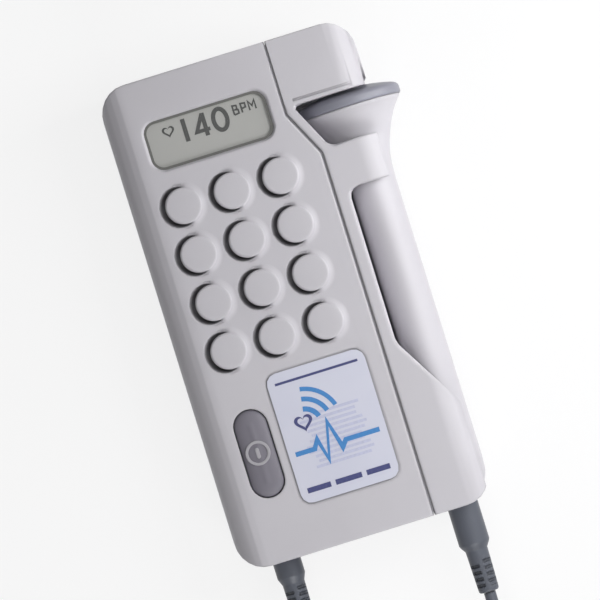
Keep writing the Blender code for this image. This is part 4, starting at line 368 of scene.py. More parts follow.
world = bpy.data.worlds.new("studio_world")
bpy.context.scene.world = world
world.use_nodes = True
tree = world.node_tree
background = tree.nodes["Background"]
level = tree.nodes.new("ShaderNodeMapRange")
tree.links.new(looked_at(tree), level.inputs["Value"])
level.inputs["To Min"].default_value = FILL_STRENGTH
level.inputs["To Max"].default_value = 1.0
tree.links.new(level.outputs[0], background.inputs["Strength"])
background.inputs["Color"].default_value = colour(1.0, 1.0, 1.0)


# %% Three soft lamps
def soft_panel(name, place, size, length, power):
    """A rectangular lamp at a place, its long side along the unit, turned to the unit's middle."""
    data = bpy.data.lights.new(name, "AREA")
    data.shape = "RECTANGLE"
    data.size = size
    data.size_y = length
    data.energy = power
    lamp = bpy.data.objects.new(name, data)
    bpy.context.scene.collection.objects.link(lamp)
    lamp.location = place
    aim = at(0.0, 0.0, MIDDLE_LEVEL) - Vector(place)
    lamp.rotation_euler = aim.to_track_quat("-Z", "Y").to_euler()
    lamp.visible_camera = False


soft_panel("key_panel", at(235.0, 40.0, 180.0), size=0.14, length=0.36, power=0.85)
soft_panel("top_panel", at(60.0, 420.0, 1300.0), size=0.9, length=0.9, power=2.05)
soft_panel("low_panel", at(30.0, -330.0, 260.0), size=0.25, length=0.25, power=0.70)

# %% [markdown]
# Finishes
#
# The case is fine-grained moulded plastic in a pale, slightly lavender grey. Each finish has its
# own small pattern for colour, gloss and relief, at the size that the real one shows. The patterns
# come from noise and cell textures on the piece's own coordinates, so they stay on the surface
# when a piece moves. The plastics also carry painted shade: their colour darkens in gaps and
# crevices.


# %% Moulded plastic and rubber
FLOW_TONE = 0.965
GLOSS_SPREAD = 0.03
CLOSED, OPEN = 0.22, 0.82
FINE_SHARE = 0.2


def moulded_plastic(name, base, roughness=0.5, grain=2600.0, relief=0.06, edge=0.0004,
                    fine_from=None, crevice=(0.0013, 0.45)):
    """Plastic with a spark-eroded grain, flow marks, painted crevice shade and softened edges.

    The edges are softened over the radius edge. Past the place fine_from along the unit they are
    softened over a fifth of it. A crevice has a reach and the share of the colour left in it, and
    the colour darkens to that share where the surface is closed in: painted shade.
    """
    made = Recipe(name)
    flow = made.noise(38.0, 3.0)
    tone = made.spread(flow, 0.0, 1.0)
    darker = tuple(value * FLOW_TONE for value in base)
    # Painted shade: the darker colour that gaps and crevices take on.
    gap_shade_colour = tuple(value * crevice[1] for value in base)
    clean = made.mix(tone, colour(*darker), colour(*base))
    # The colour darkens where ambient occlusion finds the surface closed in, a painted shade.
    open_share = made.spread(made.crevice(crevice[0]), 0.0, 1.0, CLOSED, OPEN)
    made.feed(made.shader.inputs["Base Color"], made.mix(open_share, colour(*gap_shade_colour), clean))
    fine = made.noise(grain, 2.0)
    made.feed(made.shader.inputs["Roughness"],
              made.spread(fine, roughness - GLOSS_SPREAD, roughness + GLOSS_SPREAD))
    edges = None
    if edge:
        radius = edge
        if fine_from is not None:
            own = made.node("SeparateXYZ", {"Vector": made.place()}).outputs["Y"]
            radius = made.spread(own, edge, edge * FINE_SHARE, fine_from - 0.0004,
                                 fine_from + 0.0002)
        edges = made.soft_edge(radius)
    made.feed(made.shader.inputs["Normal"], made.bump(fine, relief, 0.0002, edges))
    return made.material


CASE_GREY = (0.562, 0.547, 0.584)
# Each plastic paints shade into its gaps; crevice gives how far it reaches and how dark it gets.
case_finish = moulded_plastic("case_plastic_finish", CASE_GREY, 0.46, edge=0.0009)
# The louvre plastic paints deeper shade over a longer reach, to darken the slots by the pads.
louvre_finish = moulded_plastic("louvre_plastic_finish", CASE_GREY, 0.46, edge=0.0,
                                crevice=(0.0028, 0.28))
lip_finish = moulded_plastic("side_case_finish", CASE_GREY, 0.46, edge=0.0011,
                             fine_from=at(0.0, 51.2).y)
button_finish = moulded_plastic("button_plastic_finish", (0.172, 0.163, 0.195), 0.5,
                                crevice=(0.0005, 0.6))
symbol_finish = moulded_plastic("button_symbol_finish", (0.40, 0.39, 0.42), 0.5)
face_finish = moulded_plastic("face_plastic_finish", (0.240, 0.243, 0.290), 0.4)
rubber_finish = moulded_plastic("dark_rubber_finish", (0.078, 0.086, 0.108), 0.4, 1800.0, 0.1)
black_finish = moulded_plastic("black_plastic_finish", (0.030, 0.030, 0.033), 0.45, 2200.0, 0.05)


# %% Metal parts
def plated_metal(name, base, roughness):
    """Plated metal with fine turning marks round its axis and a cloudy gloss."""
    made = Recipe(name)
    cloud = made.noise(300.0, 3.0)
    marks = made.noise(1.0, 2.0, vector=made.place((900.0, 900.0, 9000.0)))
    dull = tuple(value * 0.82 for value in base)
    made.feed(made.shader.inputs["Base Color"], made.mix(cloud, colour(*dull), colour(*base)))
    made.shader.inputs["Metallic"].default_value = 1.0
    made.feed(made.shader.inputs["Roughness"],
              made.spread(cloud, roughness - 0.06, roughness + 0.1))
    made.feed(made.shader.inputs["Normal"], made.bump(marks, 0.08, 0.0001, made.soft_edge(0.0002)))
    return made.material


steel_finish = plated_metal("steel_finish", (0.60, 0.60, 0.62), 0.3)
brass_finish = plated_metal("brass_finish", (0.72, 0.55, 0.25), 0.25)


# %% Circuit board laminate
def board_laminate(name):
    """Green solder mask over copper: fine parallel tracks and pads show as lighter green."""
    made = Recipe(name)
    place = made.place((420.0, 420.0, 420.0))
    tracks = made.node("TexBrick", {"Vector": place, "Color1": colour(0.0, 0.0, 0.0),
                                    "Color2": colour(0.12, 0.12, 0.12),
                                    "Mortar": colour(1.0, 1.0, 1.0), "Scale": 1.0,
                                    "Mortar Size": 0.06, "Brick Width": 1.7, "Row Height": 0.32})
    pads = made.node("TexVoronoi", {"Vector": place, "Scale": 0.8}, feature="F1")
    dots = made.spread(pads.outputs["Distance"], 1.0, 0.0, 0.10, 0.14)
    green = made.mix(tracks.outputs["Color"], colour(0.012, 0.10, 0.035), colour(0.03, 0.19, 0.07))
    made.feed(made.shader.inputs["Base Color"], made.mix(dots, green, colour(0.42, 0.40, 0.34)))
    made.feed(made.shader.inputs["Roughness"], made.spread(made.noise(500.0), 0.28, 0.42))
    relief = made.bump(tracks.outputs["Color"], 0.2, 0.00005)
    made.feed(made.shader.inputs["Normal"], relief)
    return made.material


laminate_finish = board_laminate("board_laminate_finish")


# %% Speckled and fibrous stock
def speckled(name, base, fleck, roughness, scale, amount=0.5, relief=0.1):
    """A matte body with flecks of a second colour: cells for their shape, noise for their depth."""
    made = Recipe(name)
    cells = made.node("TexVoronoi", {"Vector": made.place(), "Scale": scale}, feature="F1")
    share = made.spread(cells.outputs["Distance"], amount, 0.0, 0.1, 0.55)
    made.feed(made.shader.inputs["Base Color"], made.mix(share, colour(*base), colour(*fleck)))
    grain = made.noise(scale * 2.5, 3.0)
    made.feed(made.shader.inputs["Roughness"],
              made.spread(grain, roughness - 0.05, roughness + 0.08))
    made.feed(made.shader.inputs["Normal"], made.bump(grain, relief, 0.0001))
    return made.material


ceramic_finish = speckled("ceramic_finish", (0.75, 0.70, 0.60), (0.60, 0.54, 0.44), 0.45, 1500.0)
foam_finish = speckled("foam_finish", (0.35, 0.30, 0.22), (0.16, 0.13, 0.09), 0.85, 2400.0,
                       0.8, 0.4)
cone_finish = speckled("cone_paper_finish", (0.10, 0.10, 0.11), (0.17, 0.16, 0.16), 0.8, 1800.0,
                       0.6)
battery_finish = speckled("battery_skin_finish", (0.12, 0.12, 0.14), (0.17, 0.17, 0.19), 0.3, 900.0)

# %% Clear lens, display glass and label film
lens = Recipe("lens_glass_finish")
lens.shader.inputs["Base Color"].default_value = colour(0.80, 0.81, 0.80)
lens.shader.inputs["Alpha"].default_value = 0.035
smear = lens.noise(160.0, 3.0)
lens.feed(lens.shader.inputs["Roughness"], lens.spread(smear, 0.10, 0.20))
lens.feed(lens.shader.inputs["Normal"], lens.bump(smear, 0.02, 0.0002))
lens_finish = lens.material

glass = Recipe("lcd_glass_finish")
dots = glass.node("TexChecker", {"Vector": glass.place((2500.0, 2500.0, 2500.0)), "Scale": 1.0,
                                 "Color1": colour(0.412, 0.412, 0.396),
                                 "Color2": colour(0.398, 0.398, 0.382)})
haze = glass.spread(glass.noise(60.0, 2.0), 0.0, 0.5)
glass.feed(glass.shader.inputs["Base Color"],
           glass.mix(haze, dots.outputs["Color"], colour(0.424, 0.424, 0.410)))
glass.feed(glass.shader.inputs["Roughness"], glass.spread(glass.noise(900.0), 0.35, 0.5))
lcd_finish = glass.material

film = Recipe("label_film_finish")
tooth = film.noise(3200.0, 2.0)
film.feed(film.shader.inputs["Base Color"],
          film.mix(film.spread(film.noise(70.0), 0.0, 1.0), colour(0.615, 0.625, 0.735),
                   colour(0.645, 0.653, 0.755)))
film.feed(film.shader.inputs["Roughness"], film.spread(tooth, 0.36, 0.46))
film.feed(film.shader.inputs["Normal"], film.bump(tooth, 0.04, 0.0001, film.soft_edge(0.0002)))
film_finish = film.material


# %% Printing inks
def ink(name, base):
    """Screen-printed ink: even colour with a slight mottle and a satin surface."""
    made = Recipe(name)
    mottle = made.spread(made.noise(1500.0, 3.0), 0.0, 1.0)
    lighter = tuple(min(1.0, value * 1.12 + 0.01) for value in base)
    made.feed(made.shader.inputs["Base Color"], made.mix(mottle, colour(*base), colour(*lighter)))
    made.feed(made.shader.inputs["Roughness"], made.spread(made.noise(2500.0), 0.38, 0.5))
    return made.material


navy_ink = ink("navy_ink", (0.034, 0.040, 0.145))
azure_ink = ink("azure_ink", (0.045, 0.205, 0.49))
pale_ink = ink("pale_ink", (0.49, 0.505, 0.65))
lcd_ink = ink("display_ink", (0.022, 0.023, 0.022))
border_ink = ink("border_ink", (0.105, 0.105, 0.098))

# %% Give every CAD part its finish
finishes = {
    "case_plastic": case_finish, "button_plastic": button_finish, "face_plastic": face_finish,
    "lens_glass": lens_finish, "lcd_glass": lcd_finish, "label_film": film_finish,
    "dark_rubber": rubber_finish, "black_plastic": black_finish,
    "board_laminate": laminate_finish, "steel": steel_finish, "brass": brass_finish,
    "ceramic": ceramic_finish, "foam": foam_finish, "cone_paper": cone_finish,
    "battery_skin": battery_finish,
}
for part in frame["record"]["subparts"]:
    frame["nodes"][part["node"]].material_slots[0].material = finishes[part["material_slot"]]
curly_cable.data.materials.append(rubber_finish)

# %% [markdown]
# Copies of moulded parts
#
# The shells keep the CAD shape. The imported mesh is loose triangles, so a copy of it is merged and
# its flat faces are joined. Weighted normals then keep the large flats flat and let the round
# sides shade smoothly. The side moulding has softer lips than the rest, as its bay must be kind
# to a thumb, so its finish rounds the edges more.


# %% A helper for a dressed copy of a CAD part
GROOVE_DEPTH = 0.8
FLAT_ANGLE = 0.5
SHELL_CREASE = 35.0


def dressed_copy(node, name, body, finish, drafts=()):
    """A merged copy of a CAD part, with its flat faces joined and its round faces shaded smooth.

    Each draft takes all points as an array and returns how far they move. Where there is one, the
    walls first get a row of points at the groove's depth below the face.
    """
    mesh = frame["nodes"][node].data.copy()
    mesh.materials.clear()
    work = bmesh.new()
    work.from_mesh(mesh)
    bmesh.ops.remove_doubles(work, verts=work.verts, dist=MERGE_DISTANCE)
    bmesh.ops.dissolve_limit(work, angle_limit=math.radians(FLAT_ANGLE), verts=work.verts,
                             edges=work.edges)
    if drafts:
        everything = [*work.verts, *work.edges, *work.faces]
        bmesh.ops.bisect_plane(work, geom=everything, dist=1e-7, plane_no=(0.0, 0.0, 1.0),
                               plane_co=at(0.0, 0.0, FACE_LEVEL - GROOVE_DEPTH))
    work.to_mesh(mesh)
    work.free()
    points = np.empty(len(mesh.vertices) * 3)
    mesh.vertices.foreach_get("co", points)
    points = points.reshape(-1, 3)
    for draft in drafts:
        points = points + draft(points)
    mesh.vertices.foreach_set("co", points.ravel())
    mesh.shade_smooth()
    mesh.set_sharp_from_angle(angle=math.radians(SHELL_CREASE))
    mesh.materials.append(finish)
    piece = place_piece(name, mesh)
    weights = piece.modifiers.new("flats_first", "WEIGHTED_NORMAL")
    weights.keep_sharp = True
    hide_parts(node)
    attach(piece, body)


# %% Draft of the seam's walls, the lips and the recesses
SEAM_LINE = np.array([(12.5, 74.0), (12.5, 48.6), (18.8, 35.6), (18.8, -74.0)])
BAY_LINE = np.array([(23.88, 23.22), (23.24, 22.27), (23.0, 21.1), (23.0, -20.9), (35.2, -41.7)])
POCKET_LINE = np.array([(15.9, 50.2), (15.3, 49.3), (20.78, 38.0), (21.76, 37.2), (23.16, 36.8)])
EDGE_REACH = 0.5
RIM_REACH = 0.2
LABEL_MIDDLE = (-0.8, -37.9)
RECESS_HALF = (14.5, 19.05)
RECESS_CORNER = 3.3


def case_millimetres(points):
    """Points in millimetres from the middle of the case's back."""
    return (points - np.array(at(0.0, 0.0))) / MM


def edge_draft(line, amount):
    """A draft for the wall along a line: a shift square to it that grows with height.

    The nearest of the line's stretches gives the direction. The shift is nought at the groove's
    depth and the amount at the face, so a seam lies at the bottom of a small groove and a lip gets
    a slanted edge.
    """
    def shift(points):
        local = case_millimetres(points)
        nearest = np.full(len(local), EDGE_REACH)
        move = np.zeros_like(local)
        for start, end in zip(line[:-1], line[1:]):
            along = end - start
            share = np.clip((local[:, :2] - start) @ along / (along @ along), 0.0, 1.0)
            distance = np.linalg.norm(local[:, :2] - start - share[:, None] * along, axis=1)
            square = np.array([-along[1], along[0]]) / np.linalg.norm(along)
            closer = distance < nearest
            move[closer, :2] = square * amount
            nearest = np.minimum(nearest, distance)
        height = np.clip((local[:, 2] - FACE_LEVEL) / GROOVE_DEPTH + 1, 0.0, 1.0)
        return move * height[:, None] * MM
    return shift


def opening_draft(centre, half_size, radius, amount):
    """A draft for an opening with rounded corners: the rim at the face moves outwards."""
    def shift(points):
        local = case_millimetres(points)
        offset = local[:, :2] - np.array(centre)
        past = np.maximum(np.abs(offset) - (np.array(half_size) - radius), 0.0)
        length = np.linalg.norm(past, axis=1)
        rim = (np.abs(length - radius) < RIM_REACH) & (local[:, 2] > FACE_LEVEL - RIM_REACH / 2)
        outward = np.sign(offset) * past / np.maximum(length, 1e-9)[:, None]
        move = np.zeros_like(local)
        move[rim, :2] = outward[rim] * amount
        return move * MM
    return shift


dressed_copy("front_case", "front_shell", "case", case_finish,
             (edge_draft(SEAM_LINE, -0.45),
              opening_draft(LABEL_MIDDLE, RECESS_HALF, RECESS_CORNER, 0.50)))
dressed_copy("rear_case", "rear_shell", "case", case_finish)
dressed_copy("probe_holder", "side_shell", "case", lip_finish,
             (edge_draft(SEAM_LINE, 0.15), edge_draft(BAY_LINE, -0.60),
              edge_draft(POCKET_LINE, -0.45)))
dressed_copy("battery_door", "back_door", "door", case_finish)


def dress(piece, node, body, finish):
    """Gives a finished piece its material and its body, and hides the CAD part that it stands for.
    """
    piece.data.materials.append(finish)
    if node:
        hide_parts(node)
    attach(piece, body)
    return piece


def world_points(x, y, z):
    """Points in metres from coordinates in millimetres from the middle of the case's back."""
    x, y, z = np.broadcast_arrays(x, y, z)
    return np.stack([case_x + x * MM, case_y + y * MM, z * MM], axis=-1)


# %% [markdown]
# The louvre discs
#
# Twelve round pads stand in front of the loudspeaker. Each works like a louvre: on its right a soft
# flank rises from the face with no line between them, and on its left the pad stands over a slot
# where the sound comes out. One polar surface gives pad, flank and slot floor.

# %% One pad as a profile in polar coordinates, repeated in a grid
DISC_X = [-22.3, -8.2, 5.9]
DISC_Y = [32.9, 18.8, 4.7, -9.4]
PAD_RADIUS = 5.1
PAD_TOP = 31.2
PAD_DOME = 0.0035
SHOULDER = 0.7
FLANK_SHOULDER = 0.34
FLANK = 1.9
FLANK_RISE = 0.52
SLOT_RADIUS_OUT = 6.17
SLOT_SHIFT = 0.6
SLOT_DEPTH = 2.5
COLLAR = 0.7
PAD_FOOT = 27.0


def ease(share):
    """A smooth step from nought to one with level ends: s times s times (3 - 2 s)."""
    share = np.clip(share, 0.0, 1.0)
    return share * share * (3 - 2 * share)


def louvre_pad(centre_x, centre_y, around=96):
    """A pad, its flank on the right and its slot's floor on the left.

    Along a ray at angle a, the pad falls by PAD_DOME times r squared to its shoulder, which is a
    quarter ellipse. Left and right are smooth steps of minus cos a and cos a. On the right the
    shoulder drops less and the flank runs out level with the face at its edge, as 1 - (1 - s)^2
    of its fall. On the left the slot's floor lies deep beside the pad and climbs as s / left to
    the power of 1.3, so the slot narrows to nothing at both ends.
    """
    angle = np.linspace(0.0, 2 * math.pi, around, endpoint=False)
    left = ease((0.28 - np.cos(angle)) / 1.05)
    right = ease((np.cos(angle) + 0.45) / 0.95)
    hole = np.sqrt(SLOT_RADIUS_OUT**2 - (SLOT_SHIFT * np.sin(angle)) ** 2)
    hole = hole - SLOT_SHIFT * np.cos(angle)
    collar = hole + COLLAR * (1 - left)
    reach = collar + right * np.maximum(PAD_RADIUS + FLANK - collar, 0.0)
    foot = FLANK_RISE * right - SLOT_DEPTH * np.sqrt(left)
    same = np.ones(around)
    crown = PAD_TOP - PAD_DOME * (PAD_RADIUS - SHOULDER) ** 2 - FACE_LEVEL
    drop = SHOULDER - (SHOULDER - FLANK_SHOULDER) * right
    rows = [(0.02 * same, (PAD_TOP - FACE_LEVEL) * same)]
    for radius in (1.5, 3.0, PAD_RADIUS - SHOULDER):
        rows.append((radius * same, (PAD_TOP - FACE_LEVEL - PAD_DOME * radius**2) * same))
    for share in np.linspace(0.0, 1.0, 9)[1:]:
        bend = share * math.pi / 2
        rows.append(((PAD_RADIUS - SHOULDER + SHOULDER * math.sin(bend)) * same,
                     crown - drop * (1 - math.cos(bend))))
    rows.append(((PAD_RADIUS + 0.04) * same, np.minimum(foot + 0.04, crown - drop - 0.01)))
    for share in (0.0, 0.1, 0.2, 0.32, 0.45, 0.58, 0.7, 0.82, 0.92, 1.0):
        start = PAD_RADIUS + 0.08
        level = 1 - (1 - share) ** 2
        open_floor = np.clip(share / np.maximum(left, 0.02), 0.0, 1.0) ** 1.3
        climb = np.where(left > 0.0, open_floor * (1 - right) + level * right, level)
        rows.append((start + (reach - start) * share, foot * (1 - climb) + 0.006))
    rows.append((reach, -0.7 * same))
    rows.append((hole - 0.02, -0.75 * same))
    rows.append((hole - 0.02, (PAD_FOOT - FACE_LEVEL) * same))
    radius = np.stack([row[0] * same for row in rows])
    height = FACE_LEVEL + np.stack([row[1] * same for row in rows])
    return world_points(centre_x + radius * np.cos(angle), centre_y + radius * np.sin(angle),
                        height)


def joined_grids(name, grids):
    """One mesh from several closed grids of the same shape, each capped at both ends."""
    rows, columns = grids[0].shape[:2]
    faces = []
    for number in range(len(grids)):
        faces += grid_faces(rows, columns, first=number * rows * columns)
    mesh = bpy.data.meshes.new(name)
    points = np.concatenate([grid.reshape(-1, 3) for grid in grids])
    mesh.from_pydata(points.tolist(), [], faces)
    tidy_mesh(mesh)
    return place_piece(name, mesh)


pads = [louvre_pad(x, y) for y in DISC_Y for x in DISC_X]
louvre_discs = dress(joined_grids("louvre_discs", pads), "speaker_grille", "case",
                     louvre_finish)
print("louvre discs", len(louvre_discs.data.polygons), "faces")


# %% The plate that carries the pads
def rounded_box(half_width, half_height, radius, around=96):
    """A rounded rectangle: corner centres plus a circle, chosen by the quarter of the angle."""
    angle = np.linspace(0.0, 2 * math.pi, around, endpoint=False) + math.pi / around
    x = np.sign(np.cos(angle)) * (half_width - radius) + radius * np.cos(angle)
    y = np.sign(np.sin(angle)) * (half_height - radius) + radius * np.sin(angle)
    return x, y


def rounded_plate(name, centre, half_width, half_height, radius, low, high, rim=0.15):
    """A flat plate with rounded corners and a small chamfer round its top."""
    rings = []
    for inset, height in ((0.0, low), (0.0, high - rim), (rim, high)):
        x, y = rounded_box(half_width - inset, half_height - inset, radius - inset)
        rings.append(world_points(centre[0] + x, centre[1] + y, height))
    return grid_piece(name, np.stack(rings))


grille_low, grille_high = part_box("speaker_grille")
grille_middle = (grille_low + grille_high) / 2 - Vector((case_x, case_y, 0.0))
grille_half = (grille_high - grille_low) / 2
louvre_plate = rounded_plate("louvre_plate", grille_middle / MM, grille_half.x / MM,
                             grille_half.y / MM, 2.0, grille_low.z / MM, PAD_FOOT + 0.02)
dress(louvre_plate, None, "case", louvre_finish)
print("louvre plate", [round(v / MM, 1) for v in grille_half])

# %% [markdown]
# The probe
#
# The grip is an upright oval that flares to a round head. Its sections change smoothly, so they
# come from a short table of places along the axis with a smooth curve through it. The face is a
# separate disc, slightly domed, in a darker plastic.

# %% The grip as sections along its axis
GRIP_TABLE = np.array([
    (-66.5, 29.50, 4.9, 4.4),
    (-66.2, 29.50, 5.6, 4.9),
    (-65.4, 29.60, 6.1, 5.6),
    (-63.0, 30.00, 6.65, 7.1),
    (-60.0, 30.10, 6.80, 8.1),
    (-56.7, 30.15, 6.85, 8.9),
    (-49.0, 30.15, 6.85, 9.8),
    (-32.4, 30.15, 6.85, 10.1),
    (-6.0, 30.15, 6.85, 10.1),
    (17.3, 30.15, 6.85, 10.1),
    (26.1, 30.25, 6.87, 9.95),
    (31.0, 30.60, 7.10, 9.5),
    (36.1, 30.60, 8.75, 8.8),
    (40.4, 30.60, 10.7, 10.7),
    (43.6, 30.60, 12.7, 12.7),
    (45.1, 30.60, 14.0, 14.0),
    (45.84, 30.60, 14.4, 14.4),
])
grip_table, _ = smooth_route(GRIP_TABLE, 0.8)
grip_angle = np.linspace(0.0, 2 * math.pi, 72, endpoint=False)
grip_skin = world_points(
    grip_table[:, 1:2] + grip_table[:, 2:3] * np.cos(grip_angle),
    grip_table[:, 0:1],
    MIDDLE_LEVEL + grip_table[:, 3:4] * np.sin(grip_angle),
)
dress(grid_piece("grip", grip_skin), "probe_handle", "probe", case_finish)

# %% The acoustic face as a turned profile
PROBE_AXIS_X = 30.6
FACE_PROFILE = np.array([
    (0.02, 51.3), (4.0, 51.14), (8.0, 50.65), (11.0, 50.05), (12.8, 49.6), (13.7, 49.3),
    (14.3, 48.95), (14.7, 48.5), (14.88, 47.9), (14.9, 47.2), (14.9, 46.5), (14.75, 46.1),
    (14.4, 45.92), (13.9, 45.9),
])
face_profile, _ = smooth_route(FACE_PROFILE, 0.25)
face_angle = np.linspace(0.0, 2 * math.pi, 96, endpoint=False)
face_skin = world_points(PROBE_AXIS_X + face_profile[:, 0:1] * np.cos(face_angle),
                         face_profile[:, 1:2],
                         MIDDLE_LEVEL + face_profile[:, 0:1] * np.sin(face_angle))
dress(grid_piece("acoustic_face", face_skin), "probe_faceplate", "probe",
      face_finish)

# %% [markdown]
# The strain reliefs
#
# Each boot is a plain sleeve that steps down to a thinner one with short slots. The slots lie in
# two staggered rows on each side, so the sleeve bends evenly. The radius is a profile along the
# boot, less the slot depth wherever the place falls inside a slot.


# %% A boot with staggered slots
BOOT_END_Y = -96.0
SLOT_PITCH, SLOT_WIDTH, SLOT_CUT = 1.9, 0.85, 0.75


def slotted_boot(name, centre_x, start_y, plain_radius, plain_length, first_slot, around=96):
    """A boot whose radius is profile(s) minus the slot depth times m(s, a).

    m is one inside a slot and zero outside, with soft walls: a product of a step along the boot
    and one round it. The slots on the right are half a pitch further along than those on the left.
    """
    length = start_y - BOOT_END_Y
    along = np.concatenate([[0.0, 0.15, 0.4], np.arange(0.8, length - 0.5, 0.14),
                            [length - 0.35, length - 0.12, length]])
    sleeve_start = plain_length + 1.6
    knots = [0.0, 0.4, plain_length - 0.5, plain_length, sleeve_start, length - 0.4, length]
    radii = [plain_radius - 0.15, plain_radius, plain_radius, plain_radius - 0.2, 3.2, 2.92, 2.6]
    radius = np.interp(along, knots, radii)[:, None]
    angle = np.linspace(0.0, 2 * math.pi, around, endpoint=False)[None, :]
    mask = np.zeros((len(along), around))
    for side, shift in ((1.0, 0.0), (-1.0, SLOT_PITCH / 2)):
        place = (along - first_slot - shift) / SLOT_PITCH
        inside = np.abs(place - np.round(place)) * SLOT_PITCH
        counted = (np.round(place) >= 0) & (along < length - 1.6)
        step = np.clip((SLOT_WIDTH / 2 + 0.08 - inside) / 0.16, 0.0, 1.0) * counted
        reach = side * np.cos(angle)
        height = np.abs(np.sin(angle))
        arc = np.clip((reach - 0.20) / 0.10, 0.0, 1.0) * np.clip((height - 0.14) / 0.08, 0.0, 1.0)
        mask = np.maximum(mask, step[:, None] * arc)
    radius = radius - SLOT_CUT * mask
    skin = world_points(centre_x + radius * np.cos(angle), start_y - along[:, None],
                        MIDDLE_LEVEL + radius * np.sin(angle))
    return grid_piece(name, skin)


probe_boot = slotted_boot("probe_boot", centre_x=27.6, start_y=-66.8, plain_radius=4.45,
                          plain_length=15.3, first_slot=20.4)
dress(probe_boot, "probe_strain_relief", "probe", rubber_finish)
case_boot = slotted_boot("case_boot", centre_x=-24.5, start_y=-70.3, plain_radius=4.05,
                         plain_length=5.5, first_slot=8.6)
dress(case_boot, "unit_strain_relief", "case", rubber_finish)

# %% [markdown]
# The on/off button
#
# A long pill of darker plastic with a rounded shoulder. Its outline is a stadium, and moving that
# outline inwards while it rises gives the shoulder. A ring and a bar are printed on it.


# %% The pill and its symbol
def stadium(half_width, half_length, inset, around=96):
    """A stadium outline drawn in by an inset: two half circles whose centres stay put."""
    angle = np.linspace(0.0, 2 * math.pi, around, endpoint=False)
    radius = half_width - inset
    straight = (half_length - half_width) * np.sign(np.sin(angle) + 1e-9)
    return radius * np.cos(angle), straight + radius * np.sin(angle)


def pill(name, centre, half_width, half_length, low, high, shoulder, rise):
    """A pill from its foot up: a wall, then insets shoulder (1 - cos t) at heights rise sin t."""
    levels = [(0.0, low), (0.0, high - rise)]
    for bend in np.linspace(0.0, math.pi / 2, 8)[1:]:
        levels.append((shoulder * (1 - math.cos(bend)), high - rise + rise * math.sin(bend)))
    levels.append((half_width - 0.6, high + 0.03))
    rings = []
    for inset, height in levels:
        x, y = stadium(half_width, half_length, inset)
        rings.append(world_points(centre[0] + x, centre[1] + y, height))
    return grid_piece(name, np.stack(rings))


pill_button = pill("pill_button", (-22.65, -39.15), half_width=4.80, half_length=12.60, low=27.4,
                   high=30.6, shoulder=4.1, rise=1.40)
dress(pill_button, "power_button", "button", button_finish)


def flat_ring(name, centre, outer_x, outer_y, inner_x, inner_y, low, high):
    """A flat ring between two outlines given as x and y offsets, with a square section."""
    levels = ((outer_x, outer_y, low), (outer_x, outer_y, high), (inner_x, inner_y, high),
              (inner_x, inner_y, low), (outer_x, outer_y, low))
    rows = [world_points(centre[0] + x, centre[1] + y, z) for x, y, z in levels]
    return grid_piece(name, np.stack(rows), caps=False)


SYMBOL_X, SYMBOL_Y = -22.9, -38.9
SYMBOL_LOW, SYMBOL_HIGH = 30.50, 30.68
RING_OUTER, RING_INNER = 3.5, 2.65
round_angle = np.linspace(0.0, 2 * math.pi, 96, endpoint=False)
circle_x, circle_y = np.cos(round_angle), np.sin(round_angle)
button_ring = flat_ring("button_ring", (SYMBOL_X, SYMBOL_Y), RING_OUTER * circle_x,
                        RING_OUTER * circle_y, RING_INNER * circle_x, RING_INNER * circle_y,
                        SYMBOL_LOW, SYMBOL_HIGH)
dress(button_ring, None, "button", symbol_finish)
bar_x, bar_y = stadium(0.55, 1.55, 0.0)
bar_skin = np.stack([world_points(SYMBOL_X + bar_x, SYMBOL_Y + bar_y, z)
                     for z in (SYMBOL_LOW, SYMBOL_HIGH)])
dress(grid_piece("button_bar", bar_skin), None, "button", symbol_finish)

# %% [markdown]
# The display
#
# A reflective display is a pale panel behind a clear lens. Here the panel is a film a little way
# under the lens, and it carries the dark segments. The lens has a thin dark border.

# %% The border of the lens
DISPLAY_MIDDLE = (-9.4, 50.9)
lens_low, lens_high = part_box("display_window")
_, lcd_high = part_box("lcd_panel")
lens_top = lens_high.z / MM
lens_back = lens_low.z / MM
print("lens", round(lens_back, 2), "to", round(lens_top, 2), "panel top", round(lcd_high.z / MM, 2))
outer_x, outer_y = rounded_box(17.98, 7.28, 3.88)
inner_x, inner_y = rounded_box(16.95, 6.25, 2.85)
lens_border = flat_ring("lens_border", DISPLAY_MIDDLE, outer_x, outer_y, inner_x, inner_y,
                        lens_top - 0.02, lens_top + 0.03)
dress(lens_border, None, "case", border_ink)

# %% The film that carries the segments
FILM_TOP = lens_top - 0.55
display_film = rounded_plate("display_film", DISPLAY_MIDDLE, 17.9, 7.2, 3.8, FILM_TOP - 0.2,
                             FILM_TOP, 0.02)
dress(display_film, None, "case", lcd_finish)

# %% [markdown]
# Strokes and the seam's tongue
#
# The segments and the label's print are lines of even width with mitred corners. The same kind of
# line makes the tongue that lies under the seam, as in a lap joint, so no light falls through the
# gap and the groove stays soft.


# %% A helper for strokes
def stroke(name, points, width, low, high, closed=False):
    """A flat line of even width through points, with mitred corners.

    Each point is moved both ways along the bisector of its two neighbouring normals, by half the
    width over the cosine of half the corner's angle. The top climbs a hair from start to end, so
    that no stroke lies level with one that it crosses.
    """
    line = np.array(points, dtype=float)
    if closed:
        after = unit(np.roll(line, -1, axis=0) - line)
        before = np.roll(after, 1, axis=0)
    else:
        steps = np.diff(line, axis=0)
        after = unit(np.vstack([steps, steps[-1:]]))
        before = unit(np.vstack([steps[:1], steps]))
    square = np.stack([-after[:, 1], after[:, 0]], axis=1)
    bisector = unit(square + np.stack([-before[:, 1], before[:, 0]], axis=1))
    stretch = 1 / np.maximum((bisector * square).sum(axis=1, keepdims=True), 0.45)
    side = bisector * stretch * width / 2
    left, right = line + side, line - side
    climb = np.linspace(0.0, 0.02, len(line))
    levels = ((left, low + 0 * climb), (left, high + climb), (right, high + climb),
              (right, low + 0 * climb))
    rows = np.stack([world_points(edge[:, 0], edge[:, 1], z) for edge, z in levels])
    sections = rows.transpose(1, 0, 2)
    if closed:
        sections = np.concatenate([sections, sections[:1]])
    return grid_piece(name, sections, caps=not closed)


